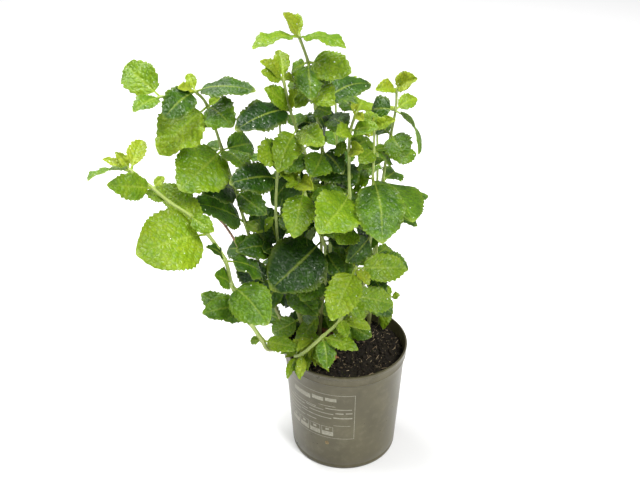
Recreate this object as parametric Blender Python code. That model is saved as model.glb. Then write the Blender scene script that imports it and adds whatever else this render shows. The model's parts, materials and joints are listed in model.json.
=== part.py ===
"""A potted mint plant: leafy mint shoots standing in the peat soil of a round 12 cm nursery pot.

Metres, +Z up. The origin is the centre of the pot's flat underside, and -Y is the front. PLANT holds
the plant: each shoot's stem and its leaves. Leaves from OWN_LEAF up are objects of their own, and
shorter ones are joined to their stem.
"""

import math

import bmesh
import bpy
from mathutils import Matrix, Quaternion, Vector, noise

MM = 0.001
CORNERS = ((-1, -1), (1, -1), (1, 1), (-1, 1))  # of a square, going round
GAP = 0.3  # mm of air between pieces that touch

# Pot, mm
RIM_RADIUS = 60.0
FOOT_RADIUS = 51.5
POT_HEIGHT = 120.0
BAND_HEIGHT = 11.0  # upright band below the rolled lip
BAND_STEP = 1.2  # the band stands out this far from the wall
LIP = 0.8  # the rolled lip stands out this far from the band
WALL = 1.2
FLOOR = 1.6
POT_SIDES = 48
DRAIN_HOLES = 8
DRAIN_RADIUS = 5.0
DRAIN_RING = 34.0

# Soil, mm
SOIL_TOP = 110.0
SOIL_LUMPS = 1.6
SOIL_RINGS = 5  # circles of points on its top

# Stems and leaves, mm
BUD = 2.5  # the stem ends this far past its last point
OWN_LEAF = 45
LEAF_THICK = 0.8
STALK = 0.12  # part of a leaf's length
STALK_WIDTH = 1.6
ROOT_IN = 0.5  # a short leaf starts this far past the middle of its stem

OWN_STATIONS = (0.0, 0.12, 0.2, 0.36, 0.56, 0.78, 0.92, 1.0)  # sections along a leaf of its own
SHORT_STATIONS = (0.0, 0.2, 0.45, 0.75, 1.0)  # sections along a short leaf

# Shoot: (stem width at the foot, at the tip, stem points from the foot up in mm, leaves).
# Leaf: (stem point, length, width, heading, rise, roll, age). Heading 0 is +X and 90 is +Y, rise is
# above the horizontal, roll turns the blade about its midrib. Age 0 is a folded yellow-green tip leaf
# and 9 an old dark one.
PLANT = {
    "arching": (
        3.4, 1.8,
        [(-45, -13, 102), (-45, -13, 114), (-54, -18, 127), (-72, -24, 126), (-78, -27, 139),
         (-87, -31, 160), (-95, -35, 184), (-102, -40, 209), (-106, -45, 238), (-119, -50, 267),
         (-132, -53, 286), (-147, -56, 300), (-159, -58, 314), (-175, -60, 331)],
        [(13, 34, 15, 80, 25, 15, 1), (13, 46, 22, -125, 15, 20, 4), (13, 26, 9, 160, 15, -15, 0),
         (13, 19, 8, 160, 50, -40, 0), (12, 48, 22, -130, 25, -70, 3), (12, 14, 8, 50, 25, 25, 1),
         (9, 68, 24, 140, 25, -25, 3), (9, 68, 56, -140, 5, -40, 3), (8, 28, 12, -135, 50, -40, 7),
         (8, 46, 30, 20, -35, 10, 7), (7, 28, 20, -130, 45, -55, 5), (7, 54, 38, -50, -15, 30, 4),
         (5, 58, 24, 150, 15, -30, 5), (4, 38, 17, -25, 5, 25, 2), (4, 14, 9, 155, -20, -35, 3),
         (6, 36, 22, -160, 0, -40, 5), (10, 28, 16, -40, -10, 40, 4), (11, 22, 12, 165, 20, -35, 3),
         (2, 24, 9, -150, 20, -30, 2), (5, 24, 10, 60, -10, 30, 4)],
    ),
    "upper_left": (
        3.0, 1.6,
        [(-40, 17, 102), (-40, 17, 114), (-60, 8, 135), (-74, 14, 173), (-85, 8, 216), (-92, 4, 248),
         (-99, 2, 281), (-108, 0, 321), (-118, -2, 362), (-127, -4, 376)],
        [(9, 58, 24, -25, 10, 20, 7), (9, 20, 10, -130, 25, -40, 1), (9, 20, 9, 115, 30, -15, 1),
         (8, 22, 11, 60, 0, 25, 2), (9, 40, 26, -125, -15, -40, 7), (8, 40, 30, -55, -5, 35, 6),
         (8, 58, 44, -140, -30, -20, 2), (7, 62, 48, -120, -10, -35, 4), (6, 50, 32, -120, 25, -55, 8),
         (7, 40, 24, -55, -5, -5, 4), (4, 37, 20, -45, 60, 50, 7), (5, 24, 11, -45, 0, 30, 3),
         (3, 46, 29, -155, 50, -95, 9), (2, 37, 22, 130, -15, -30, 6), (2, 40, 22, 50, -35, 50, 6),
         (6, 46, 28, 50, -40, 45, 7), (3, 44, 27, 40, -50, 55, 8), (4, 35, 20, -125, 40, -60, 7),
         (5, 35, 17, 55, -25, 45, 6), (5, 62, 38, -145, 35, -35, 6), (6, 36, 22, -30, -25, 45, 7),
         (4, 38, 23, 140, -20, -45, 7), (7, 40, 25, 50, -10, 45, 6), (7, 30, 18, 130, -15, -40, 5)],
    ),
    "side_branch": (
        1.8, 1.4,
        [(-127, -6, 369), (-141, -10, 373), (-154, -16, 376)],
        [(2, 50, 29, 135, 20, -35, 3), (2, 34, 18, -120, 0, -15, 4)],
    ),
    "left_middle": (
        3.2, 1.8,
        [(-37, 6, 102), (-37, 6, 114), (-43, 4, 142), (-54, 0, 183), (-61, -6, 224), (-63, -10, 263),
         (-61, -12, 300), (-58, -12, 328)],
        [(6, 54, 30, -135, 15, -45, 8), (4, 46, 27, -145, 20, -35, 7), (5, 22, 10, 175, -55, -40, 3),
         (3, 44, 26, -50, -15, 30, 6), (3, 46, 28, 160, -40, -65, 7), (4, 28, 18, -120, 25, -25, 7),
         (6, 40, 25, 80, 25, 25, 8), (7, 40, 25, -115, 10, -60, 4), (7, 35, 25, 45, -40, 60, 8),
         (5, 40, 25, 50, -40, 55, 7), (2, 35, 22, 175, -35, -60, 5), (2, 42, 25, -45, 50, 70, 6),
         (3, 42, 27, 110, 0, -20, 8), (4, 38, 24, 30, -10, 65, 7), (5, 34, 20, -35, -5, 40, 6),
         (6, 32, 20, 45, 15, 25, 5), (4, 44, 28, 150, 70, -30, 8)],
    ),
    "second_tip": (
        2.8, 1.8,
        [(-16, 30, 102), (-16, 30, 114), (-25, 24, 149), (-23, 18, 197), (-24, 10, 241), (-29, 5, 280),
         (-34, 0, 307), (-38, -2, 322), (-44, -5, 342), (-49, -7, 361), (-54, -9, 388)],
        [(10, 32, 13, 100, 30, -5, 1), (10, 28, 13, -150, 45, -50, 1), (10, 26, 14, -135, 30, -65, 2),
         (10, 26, 14, 65, -20, 35, 2), (9, 34, 20, -145, 45, -55, 3), (9, 28, 16, -70, 55, 85, 2),
         (9, 60, 32, -135, 0, -25, 9), (8, 46, 24, -110, -25, -25, 4), (8, 46, 22, -60, 5, 40, 3),
         (6, 52, 34, -180, -50, -50, 7), (4, 42, 27, 140, -40, -35, 8), (5, 42, 25, 60, -10, 75, 7),
         (7, 37, 22, 65, 10, 45, 6), (3, 40, 25, 40, -40, 10, 8), (3, 40, 25, 165, -40, -55, 8),
         (4, 40, 25, -110, -20, 80, 7), (5, 38, 24, -150, -25, -40, 6), (6, 40, 25, -15, -10, 45, 6),
         (7, 36, 22, -115, -10, -35, 5), (2, 38, 24, -150, -65, -40, 8), (2, 36, 22, 35, -20, 0, 8),
         (8, 34, 20, 95, 0, 0, 5)],
    ),
    "central": (
        3.6, 1.8,
        [(-25, 8, 102), (-25, 8, 114), (-23, 5, 151), (-20, 0, 188), (-19, -5, 224), (-22, -8, 236),
         (-29, -12, 261), (-35, -15, 280), (-38, -17, 291), (-42, -18, 301)],
        [(9, 26, 15, 125, 25, 20, 2), (9, 24, 12, -150, 35, -50, 2), (9, 18, 9, -80, 70, 100, 0),
         (9, 28, 16, -65, 10, 40, 1), (9, 18, 8, -125, 5, -30, 2), (8, 50, 28, -100, -25, -10, 4),
         (8, 22, 12, 45, -5, 30, 3), (5, 68, 54, -135, -20, -40, 8), (5, 34, 24, 5, -20, 0, 7),
         (2, 41, 18, -150, -50, -25, 3), (2, 44, 16, -35, -35, 25, 4), (2, 40, 25, 125, -15, -30, 7),
         (3, 40, 25, 50, -40, 55, 7), (3, 42, 25, -120, 5, -30, 6), (4, 34, 20, -60, -20, 30, 6),
         (6, 30, 18, 125, -10, -40, 4), (6, 30, 18, -45, -10, 40, 4), (7, 24, 14, 45, 0, 30, 3)],
    ),
    "upright": (
        3.2, 1.8,
        [(-4, 12, 102), (-4, 12, 114), (-2, 4, 140), (3, -6, 181), (6, -16, 230), (4, -20, 258),
         (1, -22, 290), (0, -22, 331), (1, -22, 349), (5, -22, 364)],
        [(9, 26, 20, 75, 5, 15, 3), (9, 16, 8, -110, 45, -100, 0), (9, 16, 8, -70, 0, 35, 0),
         (8, 24, 15, -120, 15, -50, 3), (7, 22, 14, -60, 20, 60, 1), (7, 22, 14, 125, -15, -50, 4),
         (6, 62, 42, -115, -5, -30, 4), (6, 40, 18, 95, 20, 0, 7), (5, 30, 26, -115, -5, -30, 3),
         (4, 34, 24, 145, -50, -65, 6), (6, 40, 25, 90, 0, -15, 6), (5, 40, 25, 60, -40, 80, 8),
         (4, 35, 22, -165, -60, -35, 6), (7, 35, 22, 55, -5, 35, 5), (8, 40, 22, 115, -5, -30, 6),
         (9, 28, 16, 115, 5, -25, 5), (2, 32, 20, -25, -20, 60, 6), (2, 32, 20, 145, -20, -60, 6),
         (3, 36, 22, 75, -10, 50, 7), (3, 34, 20, -140, -25, -35, 6), (8, 28, 16, -35, 20, 40, 4),
         (6, 34, 20, 170, -10, -50, 5)],
    ),
    "top": (
        3.2, 1.8,
        [(-6, 26, 102), (-6, 26, 114), (-10, 20, 161), (-14, 14, 199), (-16, 8, 253), (-19, 5, 290),
         (-22, 3, 318), (-25, 2, 341), (-28, 1, 359), (-31, 0, 379), (-34, 0, 400), (-41, 0, 421)],
        [(11, 28, 14, -135, 55, -75, 0), (11, 22, 8, 95, 40, 0, 1), (11, 50, 23, -135, 5, 0, 3),
         (11, 48, 23, -40, 5, 0, 3), (10, 38, 24, -85, -30, 5, 5), (10, 42, 28, -35, 0, 40, 3),
         (9, 40, 24, -65, 0, 35, 3), (9, 30, 16, 135, -10, -35, 4), (8, 60, 28, 35, 10, 25, 7),
         (8, 34, 22, 50, -70, 60, 8), (6, 38, 27, -105, -10, -20, 5), (6, 34, 22, -60, -10, 30, 7),
         (5, 48, 29, 60, -35, 50, 8), (5, 48, 29, 125, -35, -45, 8), (4, 48, 30, 55, -40, 50, 8),
         (4, 48, 30, 130, -25, -40, 8), (3, 44, 28, 165, -20, -70, 8), (3, 37, 25, 60, -15, 25, 7),
         (7, 28, 18, 130, -10, -35, 7), (7, 42, 25, 60, -10, 30, 8), (8, 26, 16, -60, 10, 40, 5),
         (10, 26, 14, 135, -35, -60, 4), (9, 28, 16, -120, -20, -20, 4), (2, 38, 24, 110, -30, -30, 8),
         (2, 36, 22, -70, -45, 60, 7), (5, 38, 22, -30, -35, 45, 6), (4, 36, 22, -55, -20, 40, 7),
         (9, 26, 15, 55, 0, 30, 4)],
    ),
    "right": (
        2.8, 1.6,
        [(24, 18, 102), (24, 18, 114), (23, 20, 161), (28, 20, 203), (30, 18, 247), (32, 16, 284),
         (34, 14, 307), (37, 12, 330), (40, 10, 354), (40, 8, 373)],
        [(9, 24, 13, -140, 15, -45, 1), (9, 28, 17, -50, 35, 65, 1), (9, 15, 7, 50, 65, 15, 0),
         (8, 58, 20, -70, -15, -60, 5), (8, 34, 24, 135, -20, -55, 8), (7, 34, 26, -70, -10, 30, 5),
         (6, 32, 12, -145, -5, -15, 4), (5, 66, 48, -70, -5, -15, 4), (4, 60, 24, 35, 5, 20, 5),
         (3, 34, 10, -65, 25, 15, 4), (6, 24, 10, 75, -5, 15, 5), (5, 35, 22, 65, -10, 25, 5),
         (4, 40, 27, 110, -20, -30, 7), (3, 42, 25, 130, -35, -40, 7), (3, 35, 12, 60, -15, 25, 4),
         (2, 34, 20, -50, -20, 40, 6), (7, 30, 18, 110, -5, -30, 5), (4, 36, 22, -130, -55, -20, 6),
         (3, 34, 20, -15, -20, 45, 6), (6, 30, 18, 20, 0, 45, 5), (8, 26, 14, 40, 10, 40, 3)],
    ),
    "right_front": (
        2.6, 1.5,
        [(6, 6, 102), (6, 6, 114), (14, 0, 166), (18, -4, 202), (21, -10, 242), (21, -14, 275),
         (21, -16, 302), (21, -16, 328), (21, -15, 346)],
        [(8, 16, 7, 75, 25, 10, 0), (8, 22, 12, -25, 35, 45, 1), (8, 22, 12, -135, 15, -50, 2),
         (7, 18, 9, 55, -15, 25, 4), (6, 68, 42, -85, -25, 5, 5), (6, 40, 22, 115, -30, -60, 5),
         (4, 30, 12, 45, -15, 25, 4), (3, 26, 16, 115, 45, -10, 5), (8, 24, 14, 105, 20, -15, 4),
         (7, 35, 20, 55, -35, 50, 4), (5, 40, 25, 120, -25, -45, 7), (2, 34, 20, -170, -20, -85, 6),
         (2, 34, 20, -10, -20, 45, 6), (3, 34, 20, -60, -15, 10, 6), (4, 36, 22, -130, -20, -60, 6),
         (5, 34, 22, -50, -20, 35, 5), (7, 26, 16, -120, 0, -30, 3)],
    ),
    "diagonal": (
        2.8, 1.8,
        [(-42, -26, 102), (-42, -26, 114), (-47, -33, 125), (-41, -42, 134), (-22, -50, 160),
         (-6, -46, 176), (2, -40, 198), (7, -36, 224)],
        [(7, 56, 31, -115, -25, -15, 2), (7, 50, 26, 15, -10, 50, 2), (7, 20, 12, -50, -25, 0, 0),
         (7, 24, 9, 105, 25, -5, 1), (6, 40, 24, 35, -60, 85, 3), (6, 44, 24, 10, -20, 50, 3),
         (5, 22, 12, -75, -10, 10, 3), (5, 32, 12, 10, -25, 30, 3), (4, 36, 15, -30, 0, 30, 3),
         (4, 30, 18, -80, -40, 5, 5), (2, 28, 8, -105, -10, -10, 2), (2, 28, 8, -80, -10, 5, 3),
         (3, 26, 10, -95, -20, 0, 2), (6, 26, 14, -60, -30, 20, 3)],
    ),
    "seedling": (
        1.4, 1.0,
        [(35, 40, 102), (35, 40, 114), (38, 40, 135), (46, 40, 142)],
        [(3, 10, 8, -15, 25, 40, 3), (3, 33, 13, -115, -55, -10, 4), (3, 16, 8, 115, 25, -15, 4)],
    ),
    "front_sprout": (
        2.0, 1.4,
        [(-33, -24, 102), (-33, -24, 114), (-33, -25, 128), (-32, -27, 140)],
        [(3, 18, 9, 155, -10, -30, 3), (3, 16, 9, 50, -25, 35, 3), (3, 30, 15, -60, -20, 25, 4),
         (2, 28, 7, -40, -35, 20, 1), (2, 29, 13, -175, -5, -10, 2), (2, 26, 6, -80, 0, 10, 1),
         (2, 24, 6, -115, -15, -10, 1), (2, 22, 6, 20, -10, 30, 2), (3, 24, 7, -15, -10, 30, 1),
         (3, 22, 6, -95, -10, 0, 1), (3, 24, 7, -160, 0, -20, 1), (3, 20, 6, -135, -40, -10, 1),
         (2, 30, 7, -95, -5, 10, 2), (2, 26, 7, -165, -10, -15, 1), (2, 28, 8, -65, -5, 20, 2),
         (3, 26, 8, -120, 10, -20, 1), (3, 28, 8, -45, 5, 30, 2), (2, 24, 6, -20, -5, 25, 1)],
    ),
    "back_left": (
        2.8, 1.6,
        [(-30, 36, 102), (-30, 36, 114), (-44, 52, 160), (-54, 64, 215), (-60, 72, 270), (-62, 76, 318)],
        [(2, 44, 27, 150, 5, 0, 8), (2, 44, 27, -30, 5, 0, 8), (3, 46, 29, -120, 5, 0, 7),
         (3, 46, 29, 60, 5, 0, 7), (4, 40, 25, -30, 5, 0, 5), (4, 40, 25, 150, 5, 0, 5),
         (5, 26, 16, 60, 40, 0, 2), (5, 26, 16, -120, 40, 0, 2)],
    ),
    "back_middle": (
        3.0, 1.6,
        [(2, 44, 102), (2, 44, 114), (0, 60, 165), (-4, 72, 225), (-8, 78, 285), (-10, 80, 340)],
        [(2, 44, 27, 100, 5, 0, 8), (2, 44, 27, -80, -10, -20, 8), (3, 46, 29, -170, 5, 0, 7),
         (3, 46, 29, 10, 5, 0, 7), (4, 42, 26, -80, 5, 0, 6), (4, 42, 26, 100, 5, 0, 6),
         (5, 26, 16, 10, 40, 0, 2), (5, 26, 16, -170, 40, 0, 2)],
    ),
    "back_right": (
        2.8, 1.6,
        [(26, 42, 102), (26, 42, 114), (28, 52, 165), (30, 60, 222), (30, 64, 275), (28, 66, 322)],
        [(2, 42, 26, 60, 5, 0, 8), (2, 42, 26, -120, 0, 20, 8), (3, 44, 27, 140, -10, 0, 7),
         (3, 44, 27, -30, 5, 0, 7), (4, 36, 22, -120, 5, 0, 5), (4, 36, 22, 60, 5, 0, 5),
         (5, 24, 15, -30, 40, 0, 2), (5, 24, 15, 150, 40, 0, 2)],
    ),
}

def principled(name, color, roughness):
    material = bpy.data.materials.new(name)
    material.use_nodes = True
    shader = material.node_tree.nodes["Principled BSDF"]
    shader.inputs["Base Color"].default_value = (*color, 1.0)
    shader.inputs["Roughness"].default_value = roughness
    shader.inputs["Metallic"].default_value = 0.0
    return material


def add_object(name, mesh, material):
    """Puts a mesh given in mm into the scene as an object in metres."""
    mesh.transform(Matrix.Scale(MM, 4))
    mesh.materials.append(material)
    obj = bpy.data.objects.new(name, mesh)
    bpy.context.scene.collection.objects.link(obj)
    return obj


def smooth(mesh):
    """Shades a round piece smooth and keeps its corners crisp."""
    mesh.shade_smooth()
    mesh.set_sharp_from_angle(angle=math.radians(35))
    return mesh


def lofted(name, rings):
    """A closed mesh through rings of equally many points, with ladder-shaped faces on both ends."""
    count = len(rings[0])
    faces = []
    for ring in range(len(rings) - 1):
        for k in range(count):
            near, far = ring * count + k, ring * count + (k + 1) % count
            faces.append((near, far, far + count, near + count))
    last = (len(rings) - 1) * count
    for k in range(count // 2 - 1):
        rung = (k, k + 1, count - 2 - k, count - 1 - k)
        faces.append(tuple(reversed(rung)))
        faces.append(tuple(last + corner for corner in rung))
    mesh = bpy.data.meshes.new(name)
    mesh.from_pydata([point for ring in rings for point in ring], [], faces)
    shell = bmesh.new()
    shell.from_mesh(mesh)
    bmesh.ops.recalc_face_normals(shell, faces=shell.faces)
    shell.to_mesh(mesh)
    shell.free()
    return mesh


def turned(name, profile, sides):
    """A closed mesh of revolution. The profile is (radius, height) points around the section."""
    mesh = bpy.data.meshes.new(name)
    shell = bmesh.new()
    points = [shell.verts.new((radius, 0.0, height)) for radius, height in profile]
    edges = [shell.edges.new(pair) for pair in zip(points, points[1:])]
    bmesh.ops.spin(shell, geom=points + edges, axis=(0, 0, 1), cent=(0, 0, 0),
                   angle=math.tau, steps=sides, use_merge=True, use_duplicate=False)
    bmesh.ops.remove_doubles(shell, verts=shell.verts, dist=0.001)
    bmesh.ops.recalc_face_normals(shell, faces=shell.faces)
    shell.to_mesh(mesh)
    shell.free()
    return smooth(mesh)


def as_cutter(obj):
    obj.hide_render = True
    obj.display_type = "WIRE"
    return obj


def boolean(obj, operation, other, solver="EXACT"):
    modifier = obj.modifiers.new(other.name, "BOOLEAN")
    modifier.operation = operation
    modifier.object = other
    modifier.solver = solver


def wall_radius(height):
    """Outer radius of the tapering pot wall at a height."""
    top = RIM_RADIUS - LIP - BAND_STEP
    return FOOT_RADIUS + (top - FOOT_RADIUS) * height / (POT_HEIGHT - BAND_HEIGHT)


def make_pot(plastic):
    band = RIM_RADIUS - LIP
    band_foot = POT_HEIGHT - BAND_HEIGHT
    profile = [
        (0.0, 0.0),
        (FOOT_RADIUS - 1.0, 0.0),
        (FOOT_RADIUS, 1.0),
        (wall_radius(band_foot - 1.0), band_foot - 1.0),
        (band, band_foot),
        (band, POT_HEIGHT - 3.0),
        (RIM_RADIUS, POT_HEIGHT - 2.2),
        (RIM_RADIUS, POT_HEIGHT - 0.5),
        (RIM_RADIUS - 0.5, POT_HEIGHT),
        (band - WALL, POT_HEIGHT),
        (band - WALL, band_foot + 1.0),
        (wall_radius(band_foot) - WALL, band_foot - 1.0),
        (wall_radius(FLOOR) - WALL, FLOOR),
        (0.0, FLOOR),
    ]
    pot = add_object("pot", turned("pot", profile, POT_SIDES), plastic)
    drill = [(0.0, -1.0), (DRAIN_RADIUS, -1.0), (DRAIN_RADIUS, 3.0), (0.0, 3.0)]
    for k in range(DRAIN_HOLES):
        angle = math.tau * (k + 0.5) / DRAIN_HOLES
        hole = turned("drain_hole", drill, 12)
        cutter = as_cutter(add_object(f"drain_hole_{k}", hole, plastic))
        cutter.location = (DRAIN_RING * MM * math.cos(angle), DRAIN_RING * MM * math.sin(angle), 0.0)
        boolean(pot, "DIFFERENCE", cutter)
    return pot


def make_soil(peat):
    """The peat plug, with a lumpy top and a socket for each stem."""
    bottom = FLOOR + GAP
    edge = wall_radius(SOIL_TOP - 4.0) - WALL - GAP
    rings = [(0.0, SOIL_TOP)]
    for k in range(1, SOIL_RINGS):
        rings.append((edge * k / (SOIL_RINGS - 1), SOIL_TOP))
    rings[-1] = (edge, SOIL_TOP - 4.0)
    foot = wall_radius(bottom) - WALL - GAP
    profile = rings + [(foot, bottom), (0.0, bottom)]
    mesh = turned("potting_soil", profile, POT_SIDES)
    for vertex in mesh.vertices:
        if vertex.co.z > SOIL_TOP - 1.0:
            vertex.co.z += SOIL_LUMPS * noise.noise(vertex.co * 0.09)
    soil = add_object("potting_soil", mesh, peat)
    for name, (width, _, points, _) in PLANT.items():
        if points[0][2] < SOIL_TOP:
            half = width / 2 + GAP
            x, y = points[0][:2]
            low, high = points[0][2] - GAP, SOIL_TOP + 2 * SOIL_LUMPS
            square = [(x + half * a, y + half * b) for a, b in CORNERS]
            socket = lofted("socket", [[(*corner, z) for corner in square] for z in (low, high)])
            boolean(soil, "DIFFERENCE", as_cutter(add_object(f"socket_{name}", socket, peat)))
    return soil


def stem_width(shoot, k, count):
    """Width of a stem at point k of count."""
    foot, tip = PLANT[shoot][:2]
    return foot + (tip - foot) * k / (count - 1)


def stem_rings(shoot):
    """Square sections along a stem, closed by a small bud past the last point."""
    path = [Vector(point) for point in PLANT[shoot][2]]
    path.append(path[-1] + (path[-1] - path[-2]).normalized() * BUD)
    side = Vector((1.0, 0.0, 0.0))
    rings = []
    for k, spot in enumerate(path):
        ahead = (path[min(k + 1, len(path) - 1)] - path[max(k - 1, 0)]).normalized()
        side = (side - ahead * side.dot(ahead)).normalized()
        other = ahead.cross(side)
        half = stem_width(shoot, k, len(path)) / 2 * (0.4 if k == len(path) - 1 else 1.0)
        rings.append([spot + (side * a + other * b) * half for a, b in CORNERS])
    return rings


def leaf_axes(heading, rise, roll):
    """Directions along a leaf's midrib, out of its upper face and across it."""
    heading, rise, roll = (math.radians(angle) for angle in (heading, rise, roll))
    flat = Vector((math.cos(heading), math.sin(heading), 0.0))
    along = flat * math.cos(rise) + Vector((0.0, 0.0, math.sin(rise)))
    normal = Vector((0.0, 0.0, math.cos(rise))) - flat * math.sin(rise)
    normal.rotate(Quaternion(along, roll))
    return along, normal, normal.cross(along)


def half_width(u, width):
    """Half the leaf's width at u along it: the stalk, then a blade widest near its middle."""
    t = max(u - STALK, 0.0) / (1.0 - STALK)
    return max(STALK_WIDTH / 2 * (1.0 - u), width / 2 * abs(math.sin(math.pi * t ** 0.8)) ** 0.65)


def leaf_rings(root, leaf, stations):
    """Sections across a leaf, bowed along its length and folded at the midrib. SHORT_STATIONS give sharp edges."""
    _, length, width, heading, rise, roll, age = leaf
    along, normal, across = leaf_axes(heading, rise, roll)
    bow = 0.04 + 0.01 * age
    fold = 0.5 if age < 2 else 0.2
    rings = []
    for u in stations:
        half = half_width(u, width)
        thick = LEAF_THICK if u < 1.0 else LEAF_THICK / 2
        middle = root + along * length * u + normal * length * bow * 4 * u * (1 - u)
        edge = normal * fold * half
        row = [middle - across * half + edge, middle, middle + across * half + edge]
        under = [point - normal * thick for point in reversed(row)]
        rings.append(row + (under[1:2] if stations is SHORT_STATIONS else under))
    return rings


def leaf_root(shoot, leaf):
    """Where a leaf of its own starts: beside its stem, clear of it by GAP."""
    points = [Vector(point) for point in PLANT[shoot][2]]
    k = leaf[0]
    ahead = (points[min(k + 1, len(points) - 1)] - points[k - 1]).normalized()
    along = leaf_axes(*leaf[3:6])[0]
    slant = max(along.cross(ahead).length, 0.3)
    lean = abs(along.dot(ahead)) * STALK_WIDTH / 2
    reach = (stem_width(shoot, k, len(points)) * 0.71 + 2 * GAP + lean) / slant
    if k == len(points) - 1 and along.dot(ahead) > 0.8:
        reach = BUD + 3 * GAP
    return points[k] + along * reach


def short_root(shoot, leaf, number):
    """Where a short leaf starts: just past the middle of its stem, and every other one a little deeper."""
    depth = ROOT_IN * (1.0 + 0.3 * (number % 2))
    return Vector(PLANT[shoot][2][leaf[0]]) - leaf_axes(*leaf[3:6])[0] * depth


def leaf_material(age, materials):
    return materials["leaf_young" if age < 3 else "leaf_grown" if age < 7 else "leaf_dark"]


def make_shoot(shoot, materials):
    """A stem with its short leaves joined on, and its long leaves as objects beside it."""
    points, leaves = PLANT[shoot][2:]
    stem = add_object(f"stem_{shoot}", lofted("stem", stem_rings(shoot)), materials["stem"])
    for number, leaf in enumerate(leaves, 1):
        name = f"leaf_{shoot}_{number}"
        if leaf[1] >= OWN_LEAF:
            root = leaf_root(shoot, leaf)
            tip = Vector(points[leaf[0]]) + leaf_axes(*leaf[3:6])[0] * leaf[1]
            row = (leaf[0], (tip - root).length, *leaf[2:])
            mesh = smooth(lofted(name, leaf_rings(root, row, OWN_STATIONS)))
            add_object(name, mesh, leaf_material(leaf[6], materials))
        else:
            rings = leaf_rings(short_root(shoot, leaf, number), leaf, SHORT_STATIONS)
            short = as_cutter(add_object(name, lofted(name, rings), materials["stem"]))
            boolean(stem, "UNION", short, solver="MANIFOLD")


def main():
    for obj in list(bpy.data.objects):
        bpy.data.objects.remove(obj)
    materials = {
        "plastic": principled("taupe_plastic", (0.21, 0.20, 0.13), 0.45),
        "peat": principled("peat", (0.02, 0.014, 0.01), 0.95),
        "stem": principled("stem_green", (0.22, 0.30, 0.07), 0.5),
        "leaf_young": principled("leaf_young", (0.33, 0.50, 0.06), 0.45),
        "leaf_grown": principled("leaf_grown", (0.13, 0.30, 0.04), 0.45),
        "leaf_dark": principled("leaf_dark", (0.04, 0.13, 0.03), 0.4),
    }
    make_pot(materials["plastic"])
    make_soil(materials["peat"])
    for shoot in PLANT:
        make_shoot(shoot, materials)


if __name__ == "__main__":
    main()
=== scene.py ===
"""Looks of the potted mint plant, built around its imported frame.

Metres, +Z up, origin at the centre of the pot's underside, -Y is the front. The plant's table and the
pot's sizes are those of the frame, in mm. Each leaf is one closed mesh with teeth, veins and quilting.
"""

import json
import math

import bmesh
import bpy
import numpy as np
from mathutils import Euler, Matrix, Vector, noise

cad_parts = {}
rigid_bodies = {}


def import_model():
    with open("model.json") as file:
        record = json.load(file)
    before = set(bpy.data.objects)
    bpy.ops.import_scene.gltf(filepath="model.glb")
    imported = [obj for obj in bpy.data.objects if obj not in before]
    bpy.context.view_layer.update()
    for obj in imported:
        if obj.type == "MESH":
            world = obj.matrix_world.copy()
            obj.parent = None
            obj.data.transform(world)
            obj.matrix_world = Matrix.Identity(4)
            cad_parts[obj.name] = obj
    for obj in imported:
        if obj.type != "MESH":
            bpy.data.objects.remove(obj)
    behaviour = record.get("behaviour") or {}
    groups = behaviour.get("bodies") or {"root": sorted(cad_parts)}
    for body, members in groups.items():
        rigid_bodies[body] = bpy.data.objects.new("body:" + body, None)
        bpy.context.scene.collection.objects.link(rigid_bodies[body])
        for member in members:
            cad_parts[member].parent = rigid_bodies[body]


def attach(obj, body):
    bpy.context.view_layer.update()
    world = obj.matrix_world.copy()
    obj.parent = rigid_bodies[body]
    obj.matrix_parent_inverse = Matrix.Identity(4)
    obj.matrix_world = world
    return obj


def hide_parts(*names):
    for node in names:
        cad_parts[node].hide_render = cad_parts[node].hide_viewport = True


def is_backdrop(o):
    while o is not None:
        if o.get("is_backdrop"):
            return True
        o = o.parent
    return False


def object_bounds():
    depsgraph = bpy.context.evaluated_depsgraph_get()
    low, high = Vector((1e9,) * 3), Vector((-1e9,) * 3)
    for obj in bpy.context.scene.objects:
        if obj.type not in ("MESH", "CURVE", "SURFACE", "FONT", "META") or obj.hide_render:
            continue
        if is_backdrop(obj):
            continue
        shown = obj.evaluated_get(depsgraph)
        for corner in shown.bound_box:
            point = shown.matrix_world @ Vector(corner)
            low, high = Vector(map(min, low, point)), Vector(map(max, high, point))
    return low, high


MM = 0.001
CORNERS = ((-1, -1), (1, -1), (1, 1), (-1, 1))

# The frame's sizes, mm
RIM_RADIUS = 60.0
FOOT_RADIUS = 51.5
POT_HEIGHT = 120.0
BAND_HEIGHT = 11.0
BAND_STEP = 1.2
LIP = 0.8
WALL = 1.2
FLOOR = 1.6
GAP = 0.3
DRAIN_HOLES = 8
DRAIN_RADIUS = 5.0
DRAIN_RING = 34.0
SOIL_TOP = 110.0
STALK = 0.12
STALK_WIDTH = 1.6
OWN_LEAF = 45

# Leaf detail, mm unless said otherwise
VEIN_PAIRS = 7
BLADE_THICK = 0.35
MIDRIB_THICK = 0.9
TOOTH_STEPS = 4  # mesh rows to a tooth
MAX_ACROSS = 38  # mesh columns across a blade
BUD = 2.5
STEM_STEPS = 6  # mesh rings to a span of a stem
STEM_SIDES = 16
STEM_BULK = 1.2  # the frame's stems are kept a little thin to clear each other
SOIL_RINGS = 60
SOIL_SIDES = 200
CRUMBS = 1500
FIBRES = 420

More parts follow.
